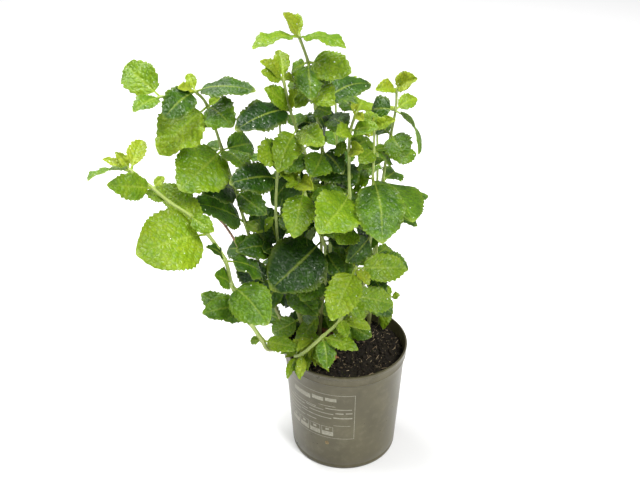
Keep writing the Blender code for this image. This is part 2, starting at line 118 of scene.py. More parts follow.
# The printed panel on the pot's wall, in degrees from the front and mm of height
PANEL = (-98.0, 9.0, 41.0, 97.0, 0.5)  # left, right, low, high, line
BARS = (  # left, right, low, thickness
    (-58.0, -36.0, 85.0, 5.5), (-34.0, -22.0, 87.5, 4.5), (-20.0, -9.0, 88.5, 4.0),
    (-60.0, -30.0, 78.0, 0.7), (-27.0, -10.0, 82.0, 0.7),
    (-80.0, -44.0, 74.0, 0.9), (-42.0, -22.0, 76.0, 0.9), (-20.0, 6.0, 78.6, 1.0),
    (-78.0, -40.0, 69.5, 0.9), (-38.0, -12.0, 72.0, 0.9), (-10.0, -2.0, 73.4, 1.4), (0.0, 6.5, 73.8, 1.4),
    (-76.0, -50.0, 64.5, 0.9), (-48.0, -14.0, 66.5, 0.9), (-12.0, 6.5, 67.5, 1.4),
    (-72.0, -44.0, 60.0, 0.9), (-42.0, -30.0, 61.0, 0.9),
    (-12.0, 5.0, 58.0, 0.5),
)
ICONS = (-66.0, 44.0, 13.8, 11.5)  # left, low, step, size

# Small things on the plant and the pot
CUT_SHOOT = ((-74, 14, 173), (-84, 11, 190), (-93, 8, 205), (-104, 4, 233), (-112, 1, 250), (-115, 0, 256))
LITTER = (  # foot x, y, z, then as for a leaf
    (-10, 24, 114, 17, 9, -160, 15, -60, 9), (-16, 14, 114, 14, 8, -60, 30, 40, 9),
    (-22, 20, 113, 13, 8, 40, 25, 40, 9), (-6, -20, 113, 20, 10, -170, 15, -50, 9),
    (-16, -24, 112, 15, 8, 100, 20, 30, 9),
)
DROP_SHARE = 700  # blade points to a drop
MUD = (-19.0, 34.0)  # degrees from the front, height

CAMERA_PLACE = (-0.0242, -0.726, 0.659)
CAMERA_DIP = 30.5  # degrees below the horizon
CAMERA_LENS = 52.3

# Light: (name, place, diameter, power)
WORLD = 0.45
LAMPS = (
    ("key", (0.9, -1.1, 1.7), 0.8, 40.0),
    ("top", (-0.5, 0.1, 1.9), 0.9, 40.0),
    ("rim", (-0.9, 1.0, 1.1), 0.8, 8.0),
)

# Shoot: (stem width at the foot, at the tip, stem points from the foot up in mm, leaves).
# Leaf: (stem point, length, width, heading, rise, roll, age). Heading 0 is +X and 90 is +Y, rise is
# above the horizontal, roll turns the blade about its midrib. Age 0 is a folded yellow-green tip leaf
# and 9 an old dark one.
PLANT = {
    "arching": (
        3.4, 1.8,
        [(-45, -13, 102), (-45, -13, 114), (-54, -18, 127), (-72, -24, 126), (-78, -27, 139),
         (-87, -31, 160), (-95, -35, 184), (-102, -40, 209), (-106, -45, 238), (-119, -50, 267),
         (-132, -53, 286), (-147, -56, 300), (-159, -58, 314), (-175, -60, 331)],
        [(13, 34, 15, 80, 25, 15, 1), (13, 46, 22, -125, 15, 20, 4), (13, 26, 9, 160, 15, -15, 0),
         (13, 19, 8, 160, 50, -40, 0), (12, 48, 22, -130, 25, -70, 3), (12, 14, 8, 50, 25, 25, 1),
         (9, 68, 24, 140, 25, -25, 3), (9, 68, 56, -140, 5, -40, 3), (8, 28, 12, -135, 50, -40, 7),
         (8, 46, 30, 20, -35, 10, 7), (7, 28, 20, -130, 45, -55, 5), (7, 54, 38, -50, -15, 30, 4),
         (5, 58, 24, 150, 15, -30, 5), (4, 38, 17, -25, 5, 25, 2), (4, 14, 9, 155, -20, -35, 3),
         (6, 36, 22, -160, 0, -40, 5), (10, 28, 16, -40, -10, 40, 4), (11, 22, 12, 165, 20, -35, 3),
         (2, 24, 9, -150, 20, -30, 2), (5, 24, 10, 60, -10, 30, 4)],
    ),
    "upper_left": (
        3.0, 1.6,
        [(-40, 17, 102), (-40, 17, 114), (-60, 8, 135), (-74, 14, 173), (-85, 8, 216), (-92, 4, 248),
         (-99, 2, 281), (-108, 0, 321), (-118, -2, 362), (-127, -4, 376)],
        [(9, 58, 24, -25, 10, 20, 7), (9, 20, 10, -130, 25, -40, 1), (9, 20, 9, 115, 30, -15, 1),
         (8, 22, 11, 60, 0, 25, 2), (9, 40, 26, -125, -15, -40, 7), (8, 40, 30, -55, -5, 35, 6),
         (8, 58, 44, -140, -30, -20, 2), (7, 62, 48, -120, -10, -35, 4), (6, 50, 32, -120, 25, -55, 8),
         (7, 40, 24, -55, -5, -5, 4), (4, 37, 20, -45, 60, 50, 7), (5, 24, 11, -45, 0, 30, 3),
         (3, 46, 29, -155, 50, -95, 9), (2, 37, 22, 130, -15, -30, 6), (2, 40, 22, 50, -35, 50, 6),
         (6, 46, 28, 50, -40, 45, 7), (3, 44, 27, 40, -50, 55, 8), (4, 35, 20, -125, 40, -60, 7),
         (5, 35, 17, 55, -25, 45, 6), (5, 62, 38, -145, 35, -35, 6), (6, 36, 22, -30, -25, 45, 7),
         (4, 38, 23, 140, -20, -45, 7), (7, 40, 25, 50, -10, 45, 6), (7, 30, 18, 130, -15, -40, 5)],
    ),
    "side_branch": (
        1.8, 1.4,
        [(-127, -6, 369), (-141, -10, 373), (-154, -16, 376)],
        [(2, 50, 29, 135, 20, -35, 3), (2, 34, 18, -120, 0, -15, 4)],
    ),
    "left_middle": (
        3.2, 1.8,
        [(-37, 6, 102), (-37, 6, 114), (-43, 4, 142), (-54, 0, 183), (-61, -6, 224), (-63, -10, 263),
         (-61, -12, 300), (-58, -12, 328)],
        [(6, 54, 30, -135, 15, -45, 8), (4, 46, 27, -145, 20, -35, 7), (5, 22, 10, 175, -55, -40, 3),
         (3, 44, 26, -50, -15, 30, 6), (3, 46, 28, 160, -40, -65, 7), (4, 28, 18, -120, 25, -25, 7),
         (6, 40, 25, 80, 25, 25, 8), (7, 40, 25, -115, 10, -60, 4), (7, 35, 25, 45, -40, 60, 8),
         (5, 40, 25, 50, -40, 55, 7), (2, 35, 22, 175, -35, -60, 5), (2, 42, 25, -45, 50, 70, 6),
         (3, 42, 27, 110, 0, -20, 8), (4, 38, 24, 30, -10, 65, 7), (5, 34, 20, -35, -5, 40, 6),
         (6, 32, 20, 45, 15, 25, 5), (4, 44, 28, 150, 70, -30, 8)],
    ),
    "second_tip": (
        2.8, 1.8,
        [(-16, 30, 102), (-16, 30, 114), (-25, 24, 149), (-23, 18, 197), (-24, 10, 241), (-29, 5, 280),
         (-34, 0, 307), (-38, -2, 322), (-44, -5, 342), (-49, -7, 361), (-54, -9, 388)],
        [(10, 32, 13, 100, 30, -5, 1), (10, 28, 13, -150, 45, -50, 1), (10, 26, 14, -135, 30, -65, 2),
         (10, 26, 14, 65, -20, 35, 2), (9, 34, 20, -145, 45, -55, 3), (9, 28, 16, -70, 55, 85, 2),
         (9, 60, 32, -135, 0, -25, 9), (8, 46, 24, -110, -25, -25, 4), (8, 46, 22, -60, 5, 40, 3),
         (6, 52, 34, -180, -50, -50, 7), (4, 42, 27, 140, -40, -35, 8), (5, 42, 25, 60, -10, 75, 7),
         (7, 37, 22, 65, 10, 45, 6), (3, 40, 25, 40, -40, 10, 8), (3, 40, 25, 165, -40, -55, 8),
         (4, 40, 25, -110, -20, 80, 7), (5, 38, 24, -150, -25, -40, 6), (6, 40, 25, -15, -10, 45, 6),
         (7, 36, 22, -115, -10, -35, 5), (2, 38, 24, -150, -65, -40, 8), (2, 36, 22, 35, -20, 0, 8),
         (8, 34, 20, 95, 0, 0, 5)],
    ),
    "central": (
        3.6, 1.8,
        [(-25, 8, 102), (-25, 8, 114), (-23, 5, 151), (-20, 0, 188), (-19, -5, 224), (-22, -8, 236),
         (-29, -12, 261), (-35, -15, 280), (-38, -17, 291), (-42, -18, 301)],
        [(9, 26, 15, 125, 25, 20, 2), (9, 24, 12, -150, 35, -50, 2), (9, 18, 9, -80, 70, 100, 0),
         (9, 28, 16, -65, 10, 40, 1), (9, 18, 8, -125, 5, -30, 2), (8, 50, 28, -100, -25, -10, 4),
         (8, 22, 12, 45, -5, 30, 3), (5, 68, 54, -135, -20, -40, 8), (5, 34, 24, 5, -20, 0, 7),
         (2, 41, 18, -150, -50, -25, 3), (2, 44, 16, -35, -35, 25, 4), (2, 40, 25, 125, -15, -30, 7),
         (3, 40, 25, 50, -40, 55, 7), (3, 42, 25, -120, 5, -30, 6), (4, 34, 20, -60, -20, 30, 6),
         (6, 30, 18, 125, -10, -40, 4), (6, 30, 18, -45, -10, 40, 4), (7, 24, 14, 45, 0, 30, 3)],
    ),
    "upright": (
        3.2, 1.8,
        [(-4, 12, 102), (-4, 12, 114), (-2, 4, 140), (3, -6, 181), (6, -16, 230), (4, -20, 258),
         (1, -22, 290), (0, -22, 331), (1, -22, 349), (5, -22, 364)],
        [(9, 26, 20, 75, 5, 15, 3), (9, 16, 8, -110, 45, -100, 0), (9, 16, 8, -70, 0, 35, 0),
         (8, 24, 15, -120, 15, -50, 3), (7, 22, 14, -60, 20, 60, 1), (7, 22, 14, 125, -15, -50, 4),
         (6, 62, 42, -115, -5, -30, 4), (6, 40, 18, 95, 20, 0, 7), (5, 30, 26, -115, -5, -30, 3),
         (4, 34, 24, 145, -50, -65, 6), (6, 40, 25, 90, 0, -15, 6), (5, 40, 25, 60, -40, 80, 8),
         (4, 35, 22, -165, -60, -35, 6), (7, 35, 22, 55, -5, 35, 5), (8, 40, 22, 115, -5, -30, 6),
         (9, 28, 16, 115, 5, -25, 5), (2, 32, 20, -25, -20, 60, 6), (2, 32, 20, 145, -20, -60, 6),
         (3, 36, 22, 75, -10, 50, 7), (3, 34, 20, -140, -25, -35, 6), (8, 28, 16, -35, 20, 40, 4),
         (6, 34, 20, 170, -10, -50, 5)],
    ),
    "top": (
        3.2, 1.8,
        [(-6, 26, 102), (-6, 26, 114), (-10, 20, 161), (-14, 14, 199), (-16, 8, 253), (-19, 5, 290),
         (-22, 3, 318), (-25, 2, 341), (-28, 1, 359), (-31, 0, 379), (-34, 0, 400), (-41, 0, 421)],
        [(11, 28, 14, -135, 55, -75, 0), (11, 22, 8, 95, 40, 0, 1), (11, 50, 23, -135, 5, 0, 3),
         (11, 48, 23, -40, 5, 0, 3), (10, 38, 24, -85, -30, 5, 5), (10, 42, 28, -35, 0, 40, 3),
         (9, 40, 24, -65, 0, 35, 3), (9, 30, 16, 135, -10, -35, 4), (8, 60, 28, 35, 10, 25, 7),
         (8, 34, 22, 50, -70, 60, 8), (6, 38, 27, -105, -10, -20, 5), (6, 34, 22, -60, -10, 30, 7),
         (5, 48, 29, 60, -35, 50, 8), (5, 48, 29, 125, -35, -45, 8), (4, 48, 30, 55, -40, 50, 8),
         (4, 48, 30, 130, -25, -40, 8), (3, 44, 28, 165, -20, -70, 8), (3, 37, 25, 60, -15, 25, 7),
         (7, 28, 18, 130, -10, -35, 7), (7, 42, 25, 60, -10, 30, 8), (8, 26, 16, -60, 10, 40, 5),
         (10, 26, 14, 135, -35, -60, 4), (9, 28, 16, -120, -20, -20, 4), (2, 38, 24, 110, -30, -30, 8),
         (2, 36, 22, -70, -45, 60, 7), (5, 38, 22, -30, -35, 45, 6), (4, 36, 22, -55, -20, 40, 7),
         (9, 26, 15, 55, 0, 30, 4)],
    ),
    "right": (
        2.8, 1.6,
        [(24, 18, 102), (24, 18, 114), (23, 20, 161), (28, 20, 203), (30, 18, 247), (32, 16, 284),
         (34, 14, 307), (37, 12, 330), (40, 10, 354), (40, 8, 373)],
        [(9, 24, 13, -140, 15, -45, 1), (9, 28, 17, -50, 35, 65, 1), (9, 15, 7, 50, 65, 15, 0),
         (8, 58, 20, -70, -15, -60, 5), (8, 34, 24, 135, -20, -55, 8), (7, 34, 26, -70, -10, 30, 5),
         (6, 32, 12, -145, -5, -15, 4), (5, 66, 48, -70, -5, -15, 4), (4, 60, 24, 35, 5, 20, 5),
         (3, 34, 10, -65, 25, 15, 4), (6, 24, 10, 75, -5, 15, 5), (5, 35, 22, 65, -10, 25, 5),
         (4, 40, 27, 110, -20, -30, 7), (3, 42, 25, 130, -35, -40, 7), (3, 35, 12, 60, -15, 25, 4),
         (2, 34, 20, -50, -20, 40, 6), (7, 30, 18, 110, -5, -30, 5), (4, 36, 22, -130, -55, -20, 6),
         (3, 34, 20, -15, -20, 45, 6), (6, 30, 18, 20, 0, 45, 5), (8, 26, 14, 40, 10, 40, 3)],
    ),
    "right_front": (
        2.6, 1.5,
        [(6, 6, 102), (6, 6, 114), (14, 0, 166), (18, -4, 202), (21, -10, 242), (21, -14, 275),
         (21, -16, 302), (21, -16, 328), (21, -15, 346)],
        [(8, 16, 7, 75, 25, 10, 0), (8, 22, 12, -25, 35, 45, 1), (8, 22, 12, -135, 15, -50, 2),
         (7, 18, 9, 55, -15, 25, 4), (6, 68, 42, -85, -25, 5, 5), (6, 40, 22, 115, -30, -60, 5),
         (4, 30, 12, 45, -15, 25, 4), (3, 26, 16, 115, 45, -10, 5), (8, 24, 14, 105, 20, -15, 4),
         (7, 35, 20, 55, -35, 50, 4), (5, 40, 25, 120, -25, -45, 7), (2, 34, 20, -170, -20, -85, 6),
         (2, 34, 20, -10, -20, 45, 6), (3, 34, 20, -60, -15, 10, 6), (4, 36, 22, -130, -20, -60, 6),
         (5, 34, 22, -50, -20, 35, 5), (7, 26, 16, -120, 0, -30, 3)],
    ),
    "diagonal": (
        2.8, 1.8,
        [(-42, -26, 102), (-42, -26, 114), (-47, -33, 125), (-41, -42, 134), (-22, -50, 160),
         (-6, -46, 176), (2, -40, 198), (7, -36, 224)],
        [(7, 56, 31, -115, -25, -15, 2), (7, 50, 26, 15, -10, 50, 2), (7, 20, 12, -50, -25, 0, 0),
         (7, 24, 9, 105, 25, -5, 1), (6, 40, 24, 35, -60, 85, 3), (6, 44, 24, 10, -20, 50, 3),
         (5, 22, 12, -75, -10, 10, 3), (5, 32, 12, 10, -25, 30, 3), (4, 36, 15, -30, 0, 30, 3),
         (4, 30, 18, -80, -40, 5, 5), (2, 28, 8, -105, -10, -10, 2), (2, 28, 8, -80, -10, 5, 3),
         (3, 26, 10, -95, -20, 0, 2), (6, 26, 14, -60, -30, 20, 3)],
    ),
    "seedling": (
        1.4, 1.0,
        [(35, 40, 102), (35, 40, 114), (38, 40, 135), (46, 40, 142)],
        [(3, 10, 8, -15, 25, 40, 3), (3, 33, 13, -115, -55, -10, 4), (3, 16, 8, 115, 25, -15, 4)],
    ),
    "front_sprout": (
        2.0, 1.4,
        [(-33, -24, 102), (-33, -24, 114), (-33, -25, 128), (-32, -27, 140)],
        [(3, 18, 9, 155, -10, -30, 3), (3, 16, 9, 50, -25, 35, 3), (3, 30, 15, -60, -20, 25, 4),
         (2, 28, 7, -40, -35, 20, 1), (2, 29, 13, -175, -5, -10, 2), (2, 26, 6, -80, 0, 10, 1),
         (2, 24, 6, -115, -15, -10, 1), (2, 22, 6, 20, -10, 30, 2), (3, 24, 7, -15, -10, 30, 1),
         (3, 22, 6, -95, -10, 0, 1), (3, 24, 7, -160, 0, -20, 1), (3, 20, 6, -135, -40, -10, 1),
         (2, 30, 7, -95, -5, 10, 2), (2, 26, 7, -165, -10, -15, 1), (2, 28, 8, -65, -5, 20, 2),
         (3, 26, 8, -120, 10, -20, 1), (3, 28, 8, -45, 5, 30, 2), (2, 24, 6, -20, -5, 25, 1)],
    ),
    "back_left": (
        2.8, 1.6,
        [(-30, 36, 102), (-30, 36, 114), (-44, 52, 160), (-54, 64, 215), (-60, 72, 270), (-62, 76, 318)],
        [(2, 44, 27, 150, 5, 0, 8), (2, 44, 27, -30, 5, 0, 8), (3, 46, 29, -120, 5, 0, 7),
         (3, 46, 29, 60, 5, 0, 7), (4, 40, 25, -30, 5, 0, 5), (4, 40, 25, 150, 5, 0, 5),
         (5, 26, 16, 60, 40, 0, 2), (5, 26, 16, -120, 40, 0, 2)],
    ),
    "back_middle": (
        3.0, 1.6,
        [(2, 44, 102), (2, 44, 114), (0, 60, 165), (-4, 72, 225), (-8, 78, 285), (-10, 80, 340)],
        [(2, 44, 27, 100, 5, 0, 8), (2, 44, 27, -80, -10, -20, 8), (3, 46, 29, -170, 5, 0, 7),
         (3, 46, 29, 10, 5, 0, 7), (4, 42, 26, -80, 5, 0, 6), (4, 42, 26, 100, 5, 0, 6),
         (5, 26, 16, 10, 40, 0, 2), (5, 26, 16, -170, 40, 0, 2)],
    ),
    "back_right": (
        2.8, 1.6,
        [(26, 42, 102), (26, 42, 114), (28, 52, 165), (30, 60, 222), (30, 64, 275), (28, 66, 322)],
        [(2, 42, 26, 60, 5, 0, 8), (2, 42, 26, -120, 0, 20, 8), (3, 44, 27, 140, -10, 0, 7),
         (3, 44, 27, -30, 5, 0, 7), (4, 36, 22, -120, 5, 0, 5), (4, 36, 22, 60, 5, 0, 5),
         (5, 24, 15, -30, 40, 0, 2), (5, 24, 15, 150, 40, 0, 2)],
    ),
}


def leaf_axes(heading, rise, roll):
    """Directions along a leaf's midrib, out of its upper face and across it."""
    heading, rise, roll = (math.radians(angle) for angle in (heading, rise, roll))
    flat = np.array((math.cos(heading), math.sin(heading), 0.0))
    up = np.array((0.0, 0.0, 1.0))
    along = flat * math.cos(rise) + up * math.sin(rise)
    normal = up * math.cos(rise) - flat * math.sin(rise)
    normal = normal * math.cos(roll) + np.cross(along, normal) * math.sin(roll)
    return along, normal, np.cross(normal, along)


def outline(t):
    """Half width of a blade, 1 at its widest, at t from its foot to its tip."""
    return np.abs(np.sin(np.pi * t ** 0.84)) ** (0.5 + 0.24 * t)


def cells(x, y, size, rng):
    """Distance to the nearest border between puffed cells about this big, for the net of small veins."""
    columns = int(x.max() / size) + 4
    rows = int((y.max() - y.min()) / size) + 4
    spot_x = np.arange(columns)[:, None] - 1.0 + rng.random((columns, rows))
    spot_y = np.arange(rows)[None, :] - 1.0 + rng.random((columns, rows))
    spots = np.stack([(spot_x * size).ravel(), (spot_y * size + y.min()).ravel()], 1)
    far = np.sqrt((x.ravel()[:, None] - spots[None, :, 0]) ** 2
                  + (y.ravel()[:, None] - spots[None, :, 1]) ** 2)
    near = np.partition(far, 1, axis=1)[:, :2]
    return (near[:, 1] - near[:, 0]).reshape(x.shape)


def blade_grid(length, width, rng):
    """Rows along a leaf and columns across it: (u, v, lateral position in mm)."""
    blade = length * (1.0 - STALK)
    spacing = 4.2 if length > 40 else 3.4 if length > 25 else 2.6
    teeth = max(5, round(blade / spacing))
    stalk_rows = np.linspace(0.0, STALK, 4, endpoint=False)
    u = np.concatenate([stalk_rows, np.linspace(STALK, 1.0, teeth * TOOTH_STEPS + 1)])
    across = int(min(MAX_ACROSS, max(10, width * 1.05))) // 2 * 2
    v = np.linspace(-1.0, 1.0, across + 1)
    v = np.sign(v) * np.abs(v) ** 0.85
    t = np.clip((u - STALK) / (1.0 - STALK), 0.0, 1.0)
    half = np.maximum(STALK_WIDTH / 2 * (1.0 - u), width / 2 * outline(t))
    lateral = v[None, :] * half[:, None]
    depth = min(1.8, 0.45 + 0.055 * width) * np.clip(half / (0.25 * width), 0.0, 1.0)
    for side, column in ((-1, v < 0), (1, v > 0)):
        count = t * teeth + 0.35 * np.sin(t * 9.0 + rng.uniform(0.0, 6.0)) + 1.0 + rng.random()
        phase = count % 1.0
        tooth = np.where(phase < 0.75, phase / 0.75, (1.0 - phase) / 0.25) - 0.5
        bite = rng.uniform(0.5, 1.5, teeth + 4)[np.floor(count).astype(int)]
        lateral[:, column] += side * (depth * bite * tooth)[:, None] * np.abs(v[column]) ** 5
    return u, v, t, half, lateral


def leaf_relief(t, v, half, lateral, blade, width, age, rng):
    """Height of a blade's upper face over its mid surface, and how much of each point is vein."""
    lat = np.abs(lateral)
    s = (t * blade)[:, None] + np.zeros_like(lateral)
    spacing = blade / VEIN_PAIRS
    shift = np.where(lateral < 0, 0.0, 0.25)
    q = (s - 0.8 * lat - 0.25 * lat ** 2 / width) / spacing + shift
    q += 0.16 * np.sin(s * 0.45 + rng.uniform(0.0, 6.0)) * np.sin(lat * 0.5 + rng.uniform(0.0, 6.0))
    side_vein = np.abs(q - np.round(q)) * spacing * 0.75
    puff = 1.0 - np.exp(-(side_vein / (0.2 * spacing)) ** 1.5)
    net = cells(s, lateral, max(1.8, min(4.0, width * 0.12)), rng)
    small = 1.0 - np.exp(-(net / 0.9) ** 1.5)
    young = min(1.0, 0.45 + 0.11 * abs(6 - min(age, 6)))
    inside = np.clip(half / (0.2 * width), 0.0, 1.0)[:, None]
    rim = 1.0 - 0.6 * np.abs(v)[None, :] ** 6
    deep = young * (0.45 + 0.03 * width if width < 32 else 1.1)
    height = inside * rim * deep * (0.55 * puff + 0.75 * small * puff)
    height -= inside * 0.8 * deep * np.exp(-(lat / 0.9) ** 2)
    midrib = np.exp(-(lat / (0.35 + 0.006 * width)) ** 2) * (1.0 - 0.6 * t[:, None])
    pale = 0.65 - 0.045 * age
    vein = np.maximum(midrib, pale * np.exp(-(side_vein / 0.4) ** 2) * (1.0 - 0.5 * np.abs(v)[None, :]))
    vein = np.maximum(vein, 0.5 * pale * np.exp(-(net / 0.4) ** 2)) * inside
    return height, np.maximum(vein, 1.0 - inside)


def leaf_mesh(name, root, leaf, seed):
    """A closed leaf: its upper and under faces, joined round the margin."""
    _, length, width, heading, rise, roll, age = leaf
    rng = np.random.default_rng(seed)
    along, normal, across = leaf_axes(heading, rise, roll)
    u, v, t, half, lateral = blade_grid(length, width, rng)
    blade = length * (1.0 - STALK)
    height, vein = leaf_relief(t, v, half, lateral, blade, width, age, rng)
    bow = 0.04 + 0.01 * age
    fold = 0.5 if age < 2 else rng.uniform(-0.12, 0.22)
    wave = rng.uniform(0.04, 0.09) * width
    turns = rng.uniform(1.2, 2.6)
    swing = rng.uniform(-0.04, 0.04) * length
    curl = rng.uniform(0.0, 0.08) * length
    lat = np.abs(lateral)
    lift = length * bow * 4 * u * (1 - u) - curl * np.clip((u - 0.55) / 0.45, 0.0, 1.0) ** 2
    phase = rng.random(2) * math.tau
    ripple = np.where(lateral < 0, np.sin(t[:, None] * turns * math.tau + phase[0]),
                      np.sin(t[:, None] * turns * math.tau + phase[1]))
    height = height + lift[:, None] + fold * (np.sqrt(lat ** 2 + 2.0) - 1.41)
    height = height + wave * ripple * np.abs(v)[None, :] ** 2 * np.clip(half / (0.3 * width), 0, 1)[:, None]
    sway = swing * np.sin(math.pi * u)
    upper = (root[None, None, :] + along[None, None, :] * (length * u)[:, None, None]
             + across[None, None, :] * (lateral + sway[:, None])[:, :, None]
             + normal[None, None, :] * height[:, :, None])
    du = np.gradient(upper, axis=0)
    dv = np.gradient(upper, axis=1)
    facing = np.cross(du, dv)
    facing /= np.linalg.norm(facing, axis=2, keepdims=True) + 1e-9
    facing *= np.sign((facing @ normal).mean())
    bulk = BLADE_THICK + (MIDRIB_THICK - BLADE_THICK) * np.exp(-(lat / 0.7) ** 2) * (1.0 - 0.75 * t[:, None])
    bulk = np.where(u[:, None] < STALK, 1.3, bulk + 0.18 * vein)
    under = upper - facing * bulk[:, :, None]
    rows, columns = lateral.shape

    def both(values):
        """Values of the grid's points, for both faces."""
        return np.tile(np.broadcast_to(values, lateral.shape).ravel(), 2)

    return closed_sheet(name, upper, under, {
        "vein": both(vein),
        "under": np.repeat((0.0, 1.0), rows * columns),
        "edge": both(np.abs(v)[None, :]),
        "across": both(lateral),
        "reach": both((u * length)[:, None]),
        "age": both(age / 9.0),
        "luck": both(rng.random()),
    })


def closed_sheet(name, upper, under, values):
    """A closed mesh of two grids of points and the wall round them, with values stored on its points."""
    rows, columns = upper.shape[:2]
    index = np.arange(rows * columns).reshape(rows, columns)
    top = np.stack([index[:-1, :-1], index[1:, :-1], index[1:, 1:], index[:-1, 1:]], -1).reshape(-1, 4)
    bottom = top[:, ::-1] + rows * columns
    ring = np.concatenate([index[0, :-1], index[:-1, -1], index[-1, :0:-1], index[:0:-1, 0]])
    after = np.roll(ring, -1)
    wall = np.stack([ring, after, after + rows * columns, ring + rows * columns], 1)
    mesh = bpy.data.meshes.new(name)
    points = np.concatenate([upper.reshape(-1, 3), under.reshape(-1, 3)]) * MM
    faces = np.concatenate([top, bottom, wall])
    mesh.from_pydata(points.tolist(), [], faces.tolist())
    return finished(mesh, values)


def finished(mesh, values):
    """A smooth closed mesh with its faces outwards and values stored on its points."""
    for key, value in values.items():
        mesh.attributes.new(key, "FLOAT", "POINT").data.foreach_set("value", value.astype(np.float32))
    fix_winding(mesh)
    mesh.shade_smooth()
    return mesh


def fix_winding(mesh):
    """Faces point out of a closed mesh."""
    shell = bmesh.new()
    shell.from_mesh(mesh)
    if shell.calc_volume(signed=True) < 0:
        bmesh.ops.reverse_faces(shell, faces=shell.faces)
    shell.to_mesh(mesh)
    shell.free()


def smooth_path(points, steps):
    """Points on a Catmull-Rom curve through the given points. The first span stays straight."""
    spots = [Vector(point) for point in points]
    spots = [2 * spots[0] - spots[1], *spots, 2 * spots[-1] - spots[-2]]
    path = [spots[1]]
    for k in range(1, len(spots) - 2):
        a, b, c, d = spots[k - 1:k + 3]
        for step in range(1, steps + 1):
            t = step / steps
            bent = 0.5 * (2 * b + (c - a) * t + (2 * a - 5 * b + 4 * c - d) * t ** 2
                          + (3 * b - a - 3 * c + d) * t ** 3)
            path.append(b.lerp(c, t) if k == 1 else bent)
    return path


def frames(path, side):
    """Each point of a path with two directions across it, which don't twist."""
    for k, spot in enumerate(path):
        ahead = (path[min(k + 1, len(path) - 1)] - path[max(k - 1, 0)]).normalized()
        side = (side - ahead * side.dot(ahead)).normalized()
        yield spot, side, ahead.cross(side)


def stem_width(shoot, k):
    """Width of a stem at its point k, which may lie between two points of the table."""
    foot, tip, points, _ = PLANT[shoot]
    return foot + (tip - foot) * k / (len(points) - 1)


def stem_mesh(shoot, seed):
    """A square stem with grooved sides that swells at each pair of leaves and ends in a bud."""
    points = PLANT[shoot][2]
    path = smooth_path(points, STEM_STEPS)
    path.append(path[-1] + (path[-1] - path[-2]).normalized() * BUD)
    leafy = {leaf[0] for leaf in PLANT[shoot][3]}
    rings, tall = [], []
    for n, (spot, side, other) in enumerate(frames(path, Vector((1.0, 0.0, 0.0)))):
        k = min(n / STEM_STEPS, len(points) - 1)
        near = abs(k - round(k)) * (Vector(points[min(round(k) + 1, len(points) - 1)])
                                    - Vector(points[max(round(k) - 1, 0)])).length / 2
        swell = 1.0 + 0.28 * math.exp(-(near / 2.2) ** 2) * (round(k) in leafy)
        half = STEM_BULK * stem_width(shoot, k) / 2 * swell * (0.35 if n == len(path) - 1 else 1.0)
        ring = []
        for corner in range(STEM_SIDES):
            angle = math.tau * (corner + 0.5) / STEM_SIDES
            bulge = 1.08 + 0.14 * math.cos(4 * (angle - math.pi / 4))
            ring.append(spot + (side * math.cos(angle) + other * math.sin(angle)) * half * bulge)
        rings.append(ring)
        tall.append(n / (len(path) - 1))
    return tube(f"stem_{shoot}", rings, tall, seed)


def tube(name, rings, tall, seed):
    """A closed tube through rings, with how far along it each point is."""
    count = len(rings[0])
    faces = []
    for ring in range(len(rings) - 1):
        for k in range(count):
            near, far = ring * count + k, ring * count + (k + 1) % count
            faces.append((near, far, far + count, near + count))
    faces.append(tuple(reversed(range(count))))
    faces.append(tuple(range((len(rings) - 1) * count, len(rings) * count)))
    mesh = bpy.data.meshes.new(name)
    mesh.from_pydata([point * MM for ring in rings for point in ring], [], faces)
    return finished(mesh, {"along": np.repeat(tall, count),
                           "luck": np.full(len(tall) * count, (seed * 0.37) % 1.0)})


